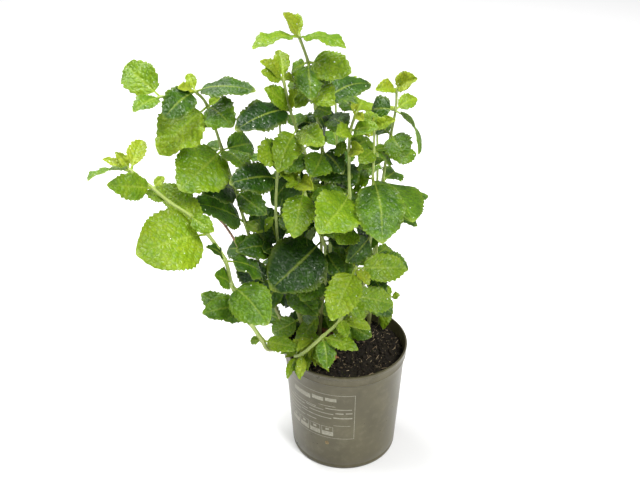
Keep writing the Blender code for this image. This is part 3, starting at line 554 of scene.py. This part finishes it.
class Nodes:
    """A new material's node tree. Inputs are given by name, as values or as sockets to link."""

    def __init__(self, name):
        self.material = bpy.data.materials.new(name)
        self.material.use_nodes = True
        self.tree = self.material.node_tree
        self.tree.nodes.clear()

    def add(self, kind, inputs=None, **settings):
        node = self.tree.nodes.new("ShaderNode" + kind)
        for key, value in settings.items():
            setattr(node, key, value)
        for key, value in (inputs or {}).items():
            if isinstance(value, bpy.types.NodeSocket):
                self.tree.links.new(value, node.inputs[key])
            else:
                node.inputs[key].default_value = value
        return node

    def attribute(self, name):
        return self.add("Attribute", attribute_name=name).outputs["Fac"]

    def math(self, operation, *values):
        return self.add("Math", dict(enumerate(values)), operation=operation).outputs[0]

    def scaled(self, value, from_low, from_high, to_low=0.0, to_high=1.0):
        """Maps a range of a value onto another, clamped."""
        inputs = {0: value, 1: from_low, 2: from_high, 3: to_low, 4: to_high}
        return self.add("MapRange", inputs, clamp=True).outputs[0]

    def mix(self, factor, a, b, blend="MIX"):
        """A mix of two colours."""
        colours = [c if isinstance(c, bpy.types.NodeSocket) else (*c, 1.0) for c in (a, b)]
        node = self.add("Mix", {0: factor, 6: colours[0], 7: colours[1]}, data_type="RGBA", blend_type=blend)
        return node.outputs[2]

    def ramp(self, factor, stops):
        """A colour ramp through (position, colour) stops."""
        node = self.add("ValToRGB", {"Fac": factor})
        elements = node.color_ramp.elements
        while len(elements) < len(stops):
            elements.new(0.5)
        for element, (position, colour) in zip(elements, stops):
            element.position = position
            element.color = (*colour, 1.0)
        return node.outputs["Color"]

    def place(self, scale=1.0):
        """The point on the object, in mm times a scale."""
        spot = self.add("TexCoord").outputs["Object"]
        inputs = {"Vector": spot, "Scale": (1000.0 * scale,) * 3}
        return self.add("Mapping", inputs).outputs["Vector"]

    def noise(self, vector, scale, detail=3.0, roughness=0.55):
        inputs = {"Vector": vector, "Scale": scale, "Detail": detail, "Roughness": roughness}
        return self.add("TexNoise", inputs).outputs["Fac"]

    def bump(self, height, strength, distance, normal=None):
        inputs = {"Height": height, "Strength": strength, "Distance": distance}
        if normal is not None:
            inputs["Normal"] = normal
        return self.add("Bump", inputs).outputs["Normal"]

    def finish(self, colour, rough, normal=None, more=None):
        """The material with one Principled shader."""
        inputs = {"Base Color": colour, "Roughness": rough, **(more or {})}
        if normal is not None:
            inputs["Normal"] = normal
        return self.surface(self.add("BsdfPrincipled", inputs).outputs[0])

    def surface(self, shader):
        out = self.add("OutputMaterial")
        self.tree.links.new(shader, out.inputs["Surface"])
        return self.material


LEAF_TONES = [
    (0.0, (0.36, 0.42, 0.022)),
    (0.16, (0.275, 0.375, 0.012)),
    (0.33, (0.205, 0.33, 0.008)),
    (0.52, (0.125, 0.25, 0.006)),
    (0.74, (0.047, 0.125, 0.005)),
    (1.0, (0.011, 0.045, 0.003)),
]


def leaf_material(name):
    """Mint leaf: tone by age, pale veins, painted shade along the quilting grooves, grey-green under face, a
    fine net of veins and light through it.
    """
    n = Nodes(name)
    place = n.place()
    luck = n.attribute("luck")
    vein = n.attribute("vein")
    under = n.attribute("under")
    blotch = n.noise(place, 0.09, 3.0)
    fine = n.noise(place, 0.45, 2.0)
    age = n.math("ADD", n.attribute("age"), n.scaled(luck, 0.0, 1.0, -0.1, 0.12))
    age = n.math("ADD", age, n.scaled(blotch, 0.3, 0.7, -0.13, 0.13))
    age = n.math("ADD", age, n.scaled(fine, 0.3, 0.7, -0.05, 0.05))
    sheet = n.add("CombineXYZ", {"X": n.attribute("reach"), "Y": n.attribute("across"),
                                 "Z": n.math("MULTIPLY", luck, 60.0)}).outputs[0]
    net = n.add("TexVoronoi", {"Vector": sheet, "Scale": 0.85, "Randomness": 1.0},
                feature="DISTANCE_TO_EDGE").outputs["Distance"]
    quilt_bump_and_groove_shade = n.add("TexVoronoi", {"Vector": sheet, "Scale": 0.27, "Randomness": 1.0},
                  feature="DISTANCE_TO_EDGE").outputs["Distance"]
    upper = n.ramp(age, LEAF_TONES)
    # painted shade: the upper face is darkened towards the borders of the quilting cells, along its grooves
    upper = n.mix(n.scaled(quilt_bump_and_groove_shade, 0.0, 0.14, 0.3, 0.0), upper, (0.03, 0.08, 0.004))
    upper = n.mix(n.scaled(n.attribute("edge"), 0.75, 1.0, 0.0, 0.25), upper, (0.34, 0.43, 0.03))
    upper = n.mix(n.scaled(vein, 0.15, 1.0, 0.0, 0.7), upper, (0.42, 0.52, 0.07))
    lower = n.mix(0.55, upper, (0.27, 0.37, 0.10))
    lower = n.mix(n.scaled(vein, 0.1, 1.0, 0.0, 0.6), lower, (0.42, 0.50, 0.22))
    colour = n.mix(under, upper, lower)
    glow = n.mix(1.0, colour, (1.5, 1.7, 0.6), "MULTIPLY")
    puffs = n.scaled(net, 0.0, 0.35)
    grain = n.add("Math", {0: fine, 1: 0.3, 2: puffs}, operation="MULTIPLY_ADD").outputs[0]
    normal = n.bump(n.scaled(quilt_bump_and_groove_shade, 0.0, 0.45), 0.7, 0.0008)
    normal = n.bump(grain, 0.2, 0.00015, normal)
    rough = n.scaled(n.noise(place, 0.35, 3.0), 0.3, 0.7, 0.26, 0.46)
    rough = n.math("MAXIMUM", rough, n.scaled(under, 0.0, 1.0, 0.0, 0.6))
    blade = n.add("BsdfPrincipled", {"Base Color": colour, "Roughness": rough, "Normal": normal,
                                     "Specular IOR Level": 0.38}).outputs[0]
    light = n.add("BsdfTranslucent", {"Color": glow, "Normal": normal}).outputs[0]
    both = n.add("MixShader", {0: 0.3, 1: blade, 2: light}).outputs[0]
    return n.surface(both)


def stem_material():
    """Fresh square stem: pale green with streaks, browner towards its foot."""
    n = Nodes("mint_stem")
    place = n.place()
    stretched = n.add("Mapping", {"Vector": place, "Scale": (1.0, 1.0, 0.12)}).outputs["Vector"]
    streak = n.noise(stretched, 1.4, 3.0)
    along = n.attribute("along")
    green = n.mix(n.scaled(streak, 0.35, 0.65), (0.24, 0.33, 0.06), (0.42, 0.50, 0.15))
    foot = n.mix(n.scaled(streak, 0.3, 0.7), (0.17, 0.17, 0.05), (0.27, 0.24, 0.09))
    share = n.math("ADD", along, n.scaled(n.noise(place, 0.1), 0.3, 0.7, -0.1, 0.1))
    colour = n.mix(n.scaled(share, 0.05, 0.4), foot, green)
    rough = n.scaled(streak, 0.3, 0.7, 0.4, 0.6)
    normal = n.bump(streak, 0.4, 0.0002)
    soft = {"Subsurface Weight": 0.15, "Subsurface Radius": (0.002, 0.002, 0.0005)}
    return n.finish(colour, rough, normal, soft)


def old_stem_material():
    """Woody pink-brown stem of an older shoot."""
    n = Nodes("woody_stem")
    place = n.place()
    stretched = n.add("Mapping", {"Vector": place, "Scale": (1.0, 1.0, 0.2)}).outputs["Vector"]
    streak = n.noise(stretched, 1.6, 4.0)
    colour = n.mix(n.scaled(streak, 0.35, 0.65), (0.16, 0.075, 0.045), (0.42, 0.26, 0.19))
    normal = n.bump(streak, 0.5, 0.0003)
    rough = n.scaled(streak, 0.3, 0.7, 0.5, 0.75)
    return n.finish(colour, rough, normal)


def dry_leaf_material():
    """Withered leaf: orange-brown with dark patches."""
    n = Nodes("dry_leaf")
    place = n.place()
    patch = n.noise(place, 0.25, 4.0)
    colour = n.mix(n.scaled(patch, 0.35, 0.65), (0.30, 0.11, 0.03), (0.12, 0.045, 0.02))
    colour = n.mix(n.scaled(n.attribute("vein"), 0.1, 1.0, 0.0, 0.6), colour, (0.42, 0.26, 0.10))
    normal = n.bump(patch, 0.6, 0.0004)
    rough = n.scaled(patch, 0.3, 0.7, 0.6, 0.85)
    return n.finish(colour, rough, normal)


def drop_glint_material():
    n = Nodes("water_drops")
    tone = n.noise(n.place(), 0.4, 2.0)
    # painted highlight: the pale green-white colour stands for the glints on the drops
    colour = n.mix(n.scaled(tone, 0.3, 0.7), (0.62, 0.72, 0.50), (0.85, 0.90, 0.78))
    rough = n.scaled(tone, 0.3, 0.7, 0.03, 0.08)
    return n.finish(colour, rough)


def mud_material():
    n = Nodes("dried_mud")
    tone = n.noise(n.place(), 0.6, 4.0)
    colour = n.mix(n.scaled(tone, 0.35, 0.65), (0.09, 0.06, 0.025), (0.27, 0.20, 0.085))
    rough = n.scaled(tone, 0.3, 0.7, 0.7, 0.9)
    return n.finish(colour, rough)


def pot_material():
    """Satin taupe plastic with a faint mottle, dust and specks of soil."""
    n = Nodes("taupe_plastic")
    place = n.place()
    mottle = n.noise(place, 0.03, 4.0)
    grain = n.noise(place, 2.2, 2.0)
    colour = n.mix(n.scaled(mottle, 0.3, 0.7), (0.062, 0.054, 0.027), (0.10, 0.088, 0.046))
    dust = n.scaled(n.noise(place, 0.12, 5.0, 0.7), 0.52, 0.75, 0.0, 0.35)
    colour = n.mix(dust, colour, (0.16, 0.145, 0.09))
    speck = n.add("TexVoronoi", {"Vector": place, "Scale": 0.16}, feature="F1").outputs["Distance"]
    patch = n.scaled(n.noise(place, 0.045, 2.0), 0.5, 0.62)
    dirt = n.math("MULTIPLY", n.scaled(speck, 0.07, 0.11, 1.0, 0.0), patch)
    colour = n.mix(dirt, colour, (0.035, 0.022, 0.012))
    rough = n.scaled(mottle, 0.3, 0.7, 0.27, 0.38)
    rough = n.math("MAXIMUM", rough, n.scaled(dirt, 0.0, 1.0, 0.0, 0.9))
    height = n.add("Math", {0: dirt, 1: 4.0, 2: grain}, operation="MULTIPLY_ADD").outputs[0]
    normal = n.bump(height, 0.25, 0.0001)
    return n.finish(colour, rough, normal, {"Specular IOR Level": 0.4})


def print_material():
    """Thin pale ink, a little worn."""
    n = Nodes("pale_ink")
    wear = n.noise(n.place(), 0.5, 3.0)
    colour = n.mix(n.scaled(wear, 0.4, 0.65), (0.20, 0.19, 0.14), (0.29, 0.28, 0.215))
    rough = n.scaled(wear, 0.3, 0.7, 0.4, 0.55)
    return n.finish(colour, rough)


def soil_material(name, dark, light):
    """Damp peat: nearly black crumbs with paler fibres."""
    n = Nodes(name)
    place = n.place()
    coarse = n.noise(place, 0.45, 5.0, 0.65)
    flecks = n.add("TexVoronoi", {"Vector": place, "Scale": 0.7}, feature="F1").outputs["Distance"]
    colour = n.mix(n.scaled(coarse, 0.35, 0.75), dark, light)
    colour = n.mix(n.scaled(flecks, 0.08, 0.14, 0.6, 0.0), colour, (0.16, 0.11, 0.06))
    normal = n.bump(coarse, 0.9, 0.0008)
    rough = n.scaled(coarse, 0.3, 0.7, 0.7, 0.98)
    return n.finish(colour, rough, normal, {"Specular IOR Level": 0.25})


def fibre_material():
    n = Nodes("pale_fibre")
    tone = n.noise(n.place(), 0.3, 2.0)
    colour = n.mix(n.scaled(tone, 0.3, 0.7), (0.14, 0.09, 0.045), (0.42, 0.33, 0.20))
    rough = n.scaled(tone, 0.3, 0.7, 0.7, 0.9)
    return n.finish(colour, rough)


def floor_material():
    n = Nodes("pale_floor")
    tone = n.noise(n.add("TexCoord").outputs["Object"], 3.0)
    colour = n.mix(tone, (0.90, 0.90, 0.90), (0.92, 0.92, 0.92))
    return n.finish(colour, 0.9, None, {"Specular IOR Level": 0.0})


def wall_radius(height):
    """Outer radius of the tapering pot wall at a height."""
    top = RIM_RADIUS - LIP - BAND_STEP
    return FOOT_RADIUS + (top - FOOT_RADIUS) * height / (POT_HEIGHT - BAND_HEIGHT)


def mesh_of(shell, name, smooth=True):
    """A mesh of an edited shell, which is then freed."""
    mesh = bpy.data.meshes.new(name)
    shell.to_mesh(mesh)
    shell.free()
    if smooth:
        mesh.shade_smooth()
    return mesh


def turned(name, profile, sides):
    """A closed mesh of revolution of (radius, height) points in mm, from the axis round to the axis."""
    mesh = bpy.data.meshes.new(name)
    shell = bmesh.new()
    points = [shell.verts.new((radius * MM, 0.0, height * MM)) for radius, height in profile]
    edges = [shell.edges.new(pair) for pair in zip(points, points[1:])]
    bmesh.ops.spin(shell, geom=points + edges, axis=(0, 0, 1), cent=(0, 0, 0),
                   angle=math.tau, steps=sides, use_merge=True, use_duplicate=False)
    bmesh.ops.remove_doubles(shell, verts=shell.verts, dist=1e-6)
    bmesh.ops.recalc_face_normals(shell, faces=shell.faces)
    shell.to_mesh(mesh)
    shell.free()
    fix_winding(mesh)
    mesh.shade_smooth()
    mesh.set_sharp_from_angle(angle=math.radians(40))
    return mesh


def pot_profile():
    """The pot's section: flat foot, tapering wall, step, band with two beads, rolled rim, inner wall."""
    band = RIM_RADIUS - LIP
    low = POT_HEIGHT - BAND_HEIGHT
    outer = [(0.0, 0.0), (FOOT_RADIUS - 2.4, 0.0), (FOOT_RADIUS - 1.0, 0.2), (FOOT_RADIUS - 0.25, 0.8),
             (FOOT_RADIUS + 0.1, 2.0), (wall_radius(4.0), 4.0), (wall_radius(4.6) - 0.3, 4.6),
             (wall_radius(5.4) - 0.3, 5.4), (wall_radius(6.2), 6.2)]
    outer += [(wall_radius(height), height) for height in range(14, int(low) - 4, 8)]
    step = [(wall_radius(low - 1.6), low - 1.6), (wall_radius(low) + 0.1, low - 0.9),
            (band - 0.4, low - 0.3), (band, low + 0.1), (band + 0.2, low + 0.5), (band, low + 0.9)]
    lip = [(band - 0.05, POT_HEIGHT - 4.4), (band, POT_HEIGHT - 3.6),
           (RIM_RADIUS - 0.25, POT_HEIGHT - 3.1), (RIM_RADIUS, POT_HEIGHT - 2.6),
           (RIM_RADIUS, POT_HEIGHT - 0.9), (RIM_RADIUS - 0.25, POT_HEIGHT - 0.25),
           (RIM_RADIUS - 0.9, POT_HEIGHT), (band - WALL + 0.2, POT_HEIGHT - 0.1),
           (band - WALL, POT_HEIGHT - 0.6)]
    inner = [(band - WALL, low + 1.0), (wall_radius(low) - WALL, low - 1.0),
             (wall_radius(FLOOR) - WALL, FLOOR), (0.0, FLOOR)]
    return outer + step + lip + inner


def make_pot(plastic):
    """The pot with its drain holes."""
    pot = add_piece("pot_shell", turned("pot_shell", pot_profile(), 192), plastic, "pot_plastic", "pot")
    drill = [(0.0, -1.0), (DRAIN_RADIUS, -1.0), (DRAIN_RADIUS, 3.0), (0.0, 3.0)]
    cut = bmesh.new()
    for k in range(DRAIN_HOLES):
        angle = math.tau * (k + 0.5) / DRAIN_HOLES
        hole = turned("drain_hole", drill, 24)
        hole.transform(Matrix.Translation(Vector((math.cos(angle), math.sin(angle), 0)) * DRAIN_RING * MM))
        cut.from_mesh(hole)
    holes = new_object("drain_holes", mesh_of(cut, "drain_holes", smooth=False))
    modifier = pot.modifiers.new("drain_holes", "BOOLEAN")
    modifier.operation = "DIFFERENCE"
    modifier.object = holes
    modifier.solver = "EXACT"
    bake_modifiers(pot)
    bpy.data.objects.remove(holes)
    return pot


def bake_modifiers(obj):
    """Replaces an object's mesh by what its modifiers make of it."""
    graph = bpy.context.evaluated_depsgraph_get()
    mesh = bpy.data.meshes.new_from_object(obj.evaluated_get(graph))
    obj.modifiers.clear()
    obj.data = mesh


def wall_point(angle, height, out):
    """A point this far out of the pot's wall; angle 0 is the front and positive to the right."""
    radius = wall_radius(height) + out
    angle = math.radians(angle)
    return Vector((radius * math.sin(angle), -radius * math.cos(angle), height)) * MM


def patch(shell, left, right, low, high, thick=0.06):
    """A thin plate of ink on the wall between two angles and two heights."""
    steps = max(1, math.ceil((right - left) / 2.5))
    grid = []
    for out in (-0.05, thick):
        for height in (low, high):
            grid.append([shell.verts.new(wall_point(left + (right - left) * k / steps, height, out))
                         for k in range(steps + 1)])
    inner_low, inner_high, outer_low, outer_high = grid
    loop = (outer_low, outer_high, inner_high, inner_low, outer_low)
    for a, b in zip(loop, loop[1:]):
        for k in range(steps):
            shell.faces.new((a[k], a[k + 1], b[k + 1], b[k]))
    for k in (0, steps):
        shell.faces.new((inner_low[k], outer_low[k], outer_high[k], inner_high[k]))


def make_print(ink):
    """A printed panel of generic marks: a thin frame, plain bars and four squares with a block in each."""
    shell = bmesh.new()
    left, right, low, high, line = PANEL
    patch(shell, left, right, low, low + line)
    patch(shell, left, right, high - line, high)
    patch(shell, right - 0.5, right, low + line, high - line)
    patch(shell, left, left + 0.5, low + line, high - line)
    for start, end, height, tall in BARS:
        patch(shell, start, end, height, height + tall)
    for k in range(4):
        start = ICONS[0] + k * ICONS[2]
        bottom, size = ICONS[1], ICONS[3]
        wide = size * 1.06
        patch(shell, start, start + wide, bottom, bottom + 0.45 * size)
        patch(shell, start, start + 0.5, bottom + 0.45 * size, bottom + size)
        patch(shell, start + wide - 0.5, start + wide, bottom + 0.45 * size, bottom + size)
        patch(shell, start + 0.5, start + wide - 0.5, bottom + size - 0.5, bottom + size)
        patch(shell, start + 0.35 * wide, start + 0.65 * wide, bottom + 0.6 * size, bottom + 0.82 * size)
    bmesh.ops.recalc_face_normals(shell, faces=shell.faces)
    return add_piece("panel_print", mesh_of(shell, "panel_print", smooth=False), ink, "pot_plastic")


def soil_height(x, y):
    """Height of the peat's crumbly top at a point, in mm."""
    spot = Vector((x, y, SOIL_TOP))
    level = SOIL_TOP + 1.6 * noise.noise(spot * 0.09)
    level += 1.6 * noise.noise(spot * 0.22 + Vector((9.0, 0.0, 0.0)))
    level += 1.1 * noise.noise(spot * 0.5 + Vector((0.0, 7.0, 0.0)))
    level += 0.5 * noise.noise(spot * 1.3)
    return level - 2.5 * max(0.0, math.hypot(x, y) / 56.0 - 0.86) / 0.14


def make_soil(peat):
    """The peat plug with its crumbly top."""
    foot = wall_radius(FLOOR + GAP) - WALL - GAP
    edge = wall_radius(SOIL_TOP - 4.0) - WALL - GAP
    shell = bmesh.new()
    rings = []
    radii = [edge * ((k + 1) / SOIL_RINGS) for k in range(SOIL_RINGS)]
    for radius in radii:
        ring = []
        for k in range(SOIL_SIDES):
            angle = math.tau * k / SOIL_SIDES
            x, y = radius * math.cos(angle), radius * math.sin(angle)
            ring.append(shell.verts.new(Vector((x, y, soil_height(x, y))) * MM))
        rings.append(ring)
    rings.append([shell.verts.new(Vector((foot * math.cos(math.tau * k / SOIL_SIDES),
                                          foot * math.sin(math.tau * k / SOIL_SIDES), FLOOR + GAP)) * MM)
                  for k in range(SOIL_SIDES)])
    top = shell.verts.new(Vector((0.0, 0.0, soil_height(0.0, 0.0))) * MM)
    for k in range(SOIL_SIDES):
        after = (k + 1) % SOIL_SIDES
        shell.faces.new((top, rings[0][k], rings[0][after]))
        for inner, outer in zip(rings, rings[1:]):
            shell.faces.new((inner[k], outer[k], outer[after], inner[after]))
    shell.faces.new(list(reversed(rings[-1])))
    bmesh.ops.recalc_face_normals(shell, faces=shell.faces)
    return add_piece("soil_plug", mesh_of(shell, "soil"), peat, "peat", "potting_soil")


def scatter(count, reach, rng):
    """Random points on the soil."""
    for _ in range(count):
        radius, angle = reach * math.sqrt(rng.random()), math.tau * rng.random()
        x, y = radius * math.cos(angle), radius * math.sin(angle)
        yield Vector((x, y, soil_height(x, y)))


def make_crumbs(peat):
    """Loose crumbs of peat on the top."""
    rng = np.random.default_rng(5)
    shell = bmesh.new()
    for spot in scatter(CRUMBS, 54.0, rng):
        size = 0.5 + 1.7 * rng.random() ** 2.5
        placed = Matrix.Translation((spot + Vector((0, 0, 0.3 * size))) * MM)
        turn = Euler(tuple(rng.uniform(0, math.tau, 3))).to_matrix().to_4x4()
        squash = Matrix.Diagonal((*rng.uniform(0.6, 1.25, 3), 1.0))
        made = bmesh.ops.create_icosphere(shell, subdivisions=1, radius=size * MM,
                                          matrix=placed @ turn @ squash)
        for vert in made["verts"]:
            vert.co += Vector(rng.uniform(-0.22, 0.22, 3)) * size * MM
    return add_piece("soil_crumbs", mesh_of(shell, "soil_crumbs", smooth=False), peat, "peat")


def make_fibres(pale):
    """Pale wood fibres and root hairs lying on the peat."""
    rng = np.random.default_rng(11)
    shell = bmesh.new()
    for spot in scatter(FIBRES, 54.0, rng):
        long, thin = 0.6 + 3.4 * rng.random() ** 2, 0.12 + 0.25 * rng.random()
        placed = Matrix.Translation((spot + Vector((0, 0, 0.8))) * MM)
        turns = (rng.uniform(-0.5, 0.5), rng.uniform(-0.5, 0.5), rng.uniform(0, math.tau))
        turn = Euler(turns).to_matrix().to_4x4()
        shape = Matrix.Diagonal((long * MM, thin * MM, thin * MM, 1.0))
        made = bmesh.ops.create_icosphere(shell, subdivisions=1, radius=1.0, matrix=placed @ turn @ shape)
        bend = Vector(rng.uniform(-0.3, 0.3, 3)) * MM
        for vert in made["verts"][::3]:
            vert.co += bend * thin
    return add_piece("soil_fibres", mesh_of(shell, "soil_fibres"), pale, "peat")


def make_cut_shoot(bark):
    """The woody stump of an older side shoot, with a thicker joint near its end."""
    path = smooth_path(CUT_SHOOT, STEM_STEPS)
    rings = []
    for k, (spot, side, other) in enumerate(frames(path, Vector((0.0, 1.0, 0.0)))):
        share = k / (len(path) - 1)
        half = 1.35 - 0.25 * share + 0.9 * math.exp(-((share - 0.86) / 0.06) ** 2)
        angles = [math.tau * corner / STEM_SIDES for corner in range(STEM_SIDES)]
        rings.append([spot + (side * math.cos(a) + other * math.sin(a)) * half for a in angles])
    mesh = tube("cut_shoot", rings, [k / (len(path) - 1) for k in range(len(path))], 3)
    return add_piece("cut_shoot_bark", mesh, bark, "stem")


def make_litter(withered):
    """Withered leaves lying among the stems."""
    for number, (x, y, z, *row) in enumerate(LITTER, 1):
        mesh = leaf_mesh(f"litter_{number}", np.array((x, y, z), float), (0, *row), 900 + number)
        add_piece(f"litter_{number}_leaf", mesh, withered, "leaf_dark")


def make_drops(water):
    """Water drops on the upper faces of the leaves, their pale colour a painted highlight."""
    rng = np.random.default_rng(21)
    blades = [obj for obj in bpy.data.objects if obj.name.endswith("_blade")]
    shell = bmesh.new()
    for blade in sorted(blades, key=lambda obj: obj.name):
        mesh = blade.data
        upper = range(len(mesh.vertices) // 2)
        for _ in range(rng.poisson(len(upper) / DROP_SHARE)):
            vertex = mesh.vertices[int(rng.integers(len(upper)))]
            size = 0.25 + 0.45 * rng.random() ** 2
            placed = Matrix.Translation(vertex.co + vertex.normal * 0.2 * size * MM)
            bmesh.ops.create_icosphere(shell, subdivisions=2, radius=size * MM, matrix=placed)
    return add_piece("water_drops", mesh_of(shell, "water_drops"), water, "leaf_grown")


def make_mud(mud):
    """A dried splash of mud on the pot's wall."""
    shell = bmesh.new()
    angle, height = MUD
    turn = Matrix.Rotation(math.radians(angle), 4, "Z")
    shape = turn @ Matrix.Diagonal((1.9 * MM, 0.3 * MM, 2.6 * MM, 1.0))
    placed = Matrix.Translation(wall_point(angle, height, 0.0))
    bmesh.ops.create_icosphere(shell, subdivisions=3, radius=1.0, matrix=placed @ shape)
    for vert in shell.verts:
        vert.co += Vector((0.0, 0.0, 0.4 * MM)) * noise.noise(vert.co * 700.0)
    return add_piece("mud_splash", mesh_of(shell, "mud_splash"), mud, "peat")


def new_object(name, data):
    """An object of the scene with this mesh, lamp or camera."""
    obj = bpy.data.objects.new(name, data)
    bpy.context.scene.collection.objects.link(obj)
    return obj


def add_piece(name, mesh, material, slot, *nodes):
    """An object of the root body, with its material and what it replaces; the slot argument is not used."""
    mesh.materials.clear()
    mesh.materials.append(material)
    obj = new_object(name, mesh)
    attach(obj, "root")
    if nodes:
        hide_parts(*nodes)
    return obj


def leaf_root(shoot, leaf):
    """Where a leaf of its own starts: beside its stem."""
    points = [Vector(point) for point in PLANT[shoot][2]]
    k = leaf[0]
    ahead = (points[min(k + 1, len(points) - 1)] - points[k - 1]).normalized()
    along = Vector(leaf_axes(*leaf[3:6])[0])
    reach = stem_width(shoot, k) * 0.45 / max(along.cross(ahead).length, 0.3)
    if k == len(points) - 1 and along.dot(ahead) > 0.8:
        reach = 1.0
    return np.array(points[k] + along * reach)


def age_slot(age):
    return "leaf_young" if age < 3 else "leaf_grown" if age < 7 else "leaf_dark"


def make_shoot(shoot, seed, materials):
    """A stem and its leaves. A long leaf stands for its own node and the stem for its node."""
    points, leaves = PLANT[shoot][2:]
    add_piece(f"stem_{shoot}_green", stem_mesh(shoot, seed), materials["stem"], "stem", f"stem_{shoot}")
    for number, leaf in enumerate(leaves, 1):
        root = leaf_root(shoot, leaf)
        tip = np.array(points[leaf[0]]) + leaf_axes(*leaf[3:6])[0] * leaf[1]
        row = (leaf[0], float(np.linalg.norm(tip - root)), *leaf[2:])
        name = f"leaf_{shoot}_{number}"
        node = (name,) if leaf[1] >= OWN_LEAF else ()
        mesh = leaf_mesh(name, root, row, seed * 100 + number)
        add_piece(f"{name}_blade", mesh, materials["leaf"], age_slot(leaf[6]), *node)


def make_stage():
    """A pale floor, soft lights and the camera."""
    mesh = bpy.data.meshes.new("floor")
    mesh.from_pydata([(x * 6.0, y * 6.0, 0.0) for x, y in CORNERS], [], [(0, 1, 2, 3)])
    floor = new_object("floor", mesh)
    mesh.materials.append(floor_material())
    floor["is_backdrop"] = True
    world = bpy.data.worlds.new("studio")
    world.use_nodes = True
    world.node_tree.nodes["Background"].inputs["Color"].default_value = (1.0, 1.0, 1.0, 1.0)
    world.node_tree.nodes["Background"].inputs["Strength"].default_value = WORLD
    bpy.context.scene.world = world
    for name, spot, size, power in LAMPS:
        lamp = bpy.data.lights.new(name, "AREA")
        lamp.shape = "DISK"
        lamp.size = size
        lamp.energy = power
        holder = new_object(name, lamp)
        holder.location = spot
        holder.rotation_euler = (Vector((0, 0, 0.2)) - Vector(spot)).to_track_quat("-Z", "Y").to_euler()
    camera = new_object("camera", bpy.data.cameras.new("camera"))
    camera.location = CAMERA_PLACE
    camera.rotation_euler = (math.radians(90.0 - CAMERA_DIP), 0.0, 0.0)
    camera.data.lens = CAMERA_LENS
    camera.data.sensor_width = 36.0
    camera.data.clip_end = 50.0
    bpy.context.scene.camera = camera
    bpy.context.scene.view_settings.view_transform = "Standard"


def main():
    materials = {"leaf": leaf_material("mint_leaf"), "stem": stem_material()}
    make_pot(pot_material())
    make_print(print_material())
    make_soil(soil_material("peat", (0.006, 0.005, 0.003), (0.024, 0.018, 0.010)))
    make_crumbs(soil_material("peat_crumbs", (0.005, 0.004, 0.003), (0.034, 0.025, 0.014)))
    make_fibres(fibre_material())
    for seed, shoot in enumerate(PLANT, 1):
        make_shoot(shoot, seed, materials)
    make_cut_shoot(old_stem_material())
    make_litter(dry_leaf_material())
    make_drops(drop_glint_material())
    make_mud(mud_material())
    make_stage()


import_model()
cad_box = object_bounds()
main()
boxes = [[list(corner) for corner in box] for box in (cad_box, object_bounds())]
